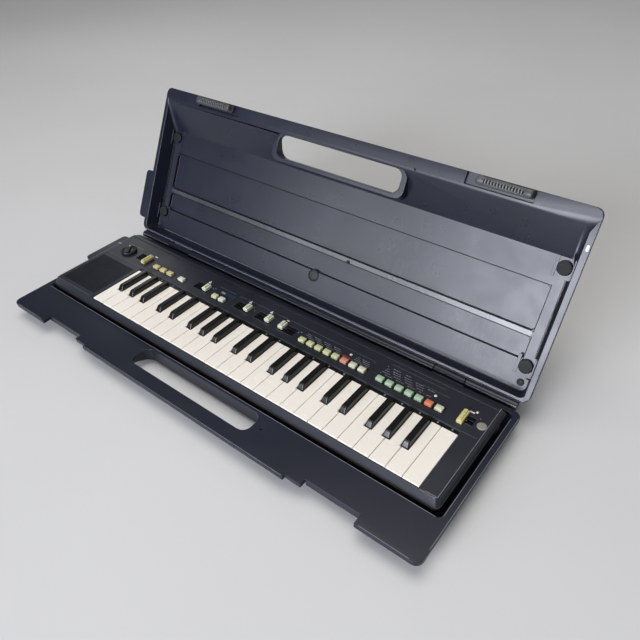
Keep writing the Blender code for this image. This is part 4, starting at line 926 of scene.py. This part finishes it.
def make_grip(name, centre):
    """A half-round bar across the latch: lighter ribs as painted highlight over a near-black core
    of painted shade, between two smooth ends.
    """

    def ring(x, share):
        points = []
        for step in range(13):
            angle = math.pi * step / 12
            points.append((x, GRIP_REACH * MM + GRIP_HALF * MM * share * math.cos(angle),
                           GRIP_LIFT * MM + GRIP_ROUND * MM * share * math.sin(angle)))
        points += [(x, (GRIP_REACH - GRIP_HALF * share) * MM, GRIP_FOOT * MM),
                   (x, (GRIP_REACH + GRIP_HALF * share) * MM, GRIP_FOOT * MM)]
        return points

    half, pitch = 33.0 * MM, RIB_PITCH * MM
    ribbed = RIBS * pitch / 2
    built, ridges, shade_core = bmesh.new(), bmesh.new(), bmesh.new()
    end = ((0.0, 0.70), (0.5, 0.90), (1.4, 0.98), (3.0, 1.0), (8.6, 1.0), (9.2, 0.93))
    add_rings(built, [ring(centre - half + offset * MM, share) for offset, share in end])
    add_rings(built, [ring(centre + half - offset * MM, share) for offset, share in reversed(end)])
    rib_rings = ((0.24, 0.90), (0.36, 1.03), (0.64, 1.03), (0.76, 0.90))
    for rib in range(RIBS):
        start = centre - ribbed + rib * pitch
        add_rings(ridges, [ring(start + offset * pitch, share) for offset, share in rib_rings])
    core_ends = (centre - ribbed - 0.5 * MM, centre + ribbed + 0.5 * MM)
    add_rings(shade_core, [ring(x, 0.80) for x in core_ends])
    # The core is near-black as painted shade in the grooves; the ribs are lighter as a painted
    # highlight
    for part, mesh, paint in (("grip", built, latch_paint), ("ribs", ridges, rib_highlight_paint),
                              ("shade_core", shade_core, painted_shade_paint)):
        bmesh.ops.transform(mesh, matrix=lid_matrix(0.0, 0.0, 0.0), verts=mesh.verts)
        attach(new_object(f"{name}_{part}", mesh, paint, 30), body_of[name])


make_grip("latch_left", -LATCH_X)
make_grip("latch_right", LATCH_X)


# Camera, floor and lights
# The photograph's camera, fitted to the key grid, the case's edges and the open lid
CAMERA_PLACE = Vector((0.4526, -0.3885, 0.5537))
CAMERA_RIGHT = Vector((0.79053131, 0.61188612, -0.02560511))
CAMERA_DOWN = Vector((0.37308835, -0.51432765, -0.77218661))
CAMERA_FORWARD = Vector((-0.48565968, 0.60088473, -0.63487969))
CAMERA_LENS = 34.37
FLOOR_HALF = 9


def make_camera():
    data = bpy.data.cameras.new("camera")
    data.lens = CAMERA_LENS
    data.sensor_width = 36.0
    data.clip_start = 0.01
    data.clip_end = 60.0
    camera = bpy.data.objects.new("camera", data)
    bpy.context.scene.collection.objects.link(camera)
    camera.matrix_world = placed(CAMERA_RIGHT, -CAMERA_DOWN, -CAMERA_FORWARD, CAMERA_PLACE)
    bpy.context.scene.camera = camera


def make_floor():
    paint = Paint("floor_pale")
    cloud = paint.spread(paint.noise(2.0, 4.0), 0.3, 0.7)
    fine = paint.noise(90.0, 4.0, 0.6)
    material = paint.set(
        paint.mix(cloud, (0.60, 0.60, 0.595), (0.63, 0.63, 0.625)),
        paint.spread(fine, 0.3, 0.7, 0.62, 0.74),
        paint.bump(fine, 0.05 * MM),
    )
    built = bmesh.new()
    corners = [(-FLOOR_HALF, -FLOOR_HALF), (FLOOR_HALF, -FLOOR_HALF),
               (FLOOR_HALF, FLOOR_HALF), (-FLOOR_HALF, FLOOR_HALF)]
    add_rings(built, [lifted(corners, -0.05), lifted(corners, base_low.z - 0.0002)])
    new_object("floor", built, material)


def area_light(name, place, aim, width, height, radiance, colour=(1.0, 1.0, 1.0), spread=180.0):
    """A soft box; a spread under 180 degrees keeps its light off the floor beneath it."""
    data = bpy.data.lights.new(name, "AREA")
    data.spread = math.radians(spread)
    data.shape = "RECTANGLE"
    data.size = width
    data.size_y = height
    data.energy = radiance * math.pi * width * height
    data.color = colour
    light = bpy.data.objects.new(name, data)
    bpy.context.scene.collection.objects.link(light)
    light.location = place
    light.rotation_mode = "QUATERNION"
    light.rotation_quaternion = (Vector(aim) - Vector(place)).to_track_quat("-Z", "Y")


FRONT_SPREAD = 70.0


def make_lights():
    area_light("overhead", (-0.2, 0.2, 4.0), (0.0, 0.0, 0.0), 3.0, 3.0, 3.2, (1.0, 0.965, 0.915))
    area_light("front", (-0.10, -3.0, 1.12), (0.2, 0.2, 0.12), 1.8, 1.4, 2.75,
               (0.88, 0.905, 1.0), FRONT_SPREAD)
    area_light("front_left", (-1.51, -2.42, 0.96), (-0.05, 0.18, 0.12), 0.8, 1.0, 0.75,
               (0.91, 0.93, 1.0), FRONT_SPREAD)
    area_light("back_left", (-1.5, 0.90, 0.90), (-0.25, 0.07, 0.04), 0.45, 0.30, 2.4)
    area_light("right", (1.6, -0.1, 0.9), (0.3, 0.05, 0.03), 0.8, 0.5, 1.6)
    world = bpy.data.worlds.new("studio")
    bpy.context.scene.world = world
    world.use_nodes = True
    sky = world.node_tree.nodes["Background"]
    sky.inputs["Color"].default_value = (0.86, 0.92, 1.0, 1.0)
    sky.inputs["Strength"].default_value = 0.16


make_camera()
make_floor()
make_lights()
bpy.context.scene.view_settings.view_transform = "Standard"
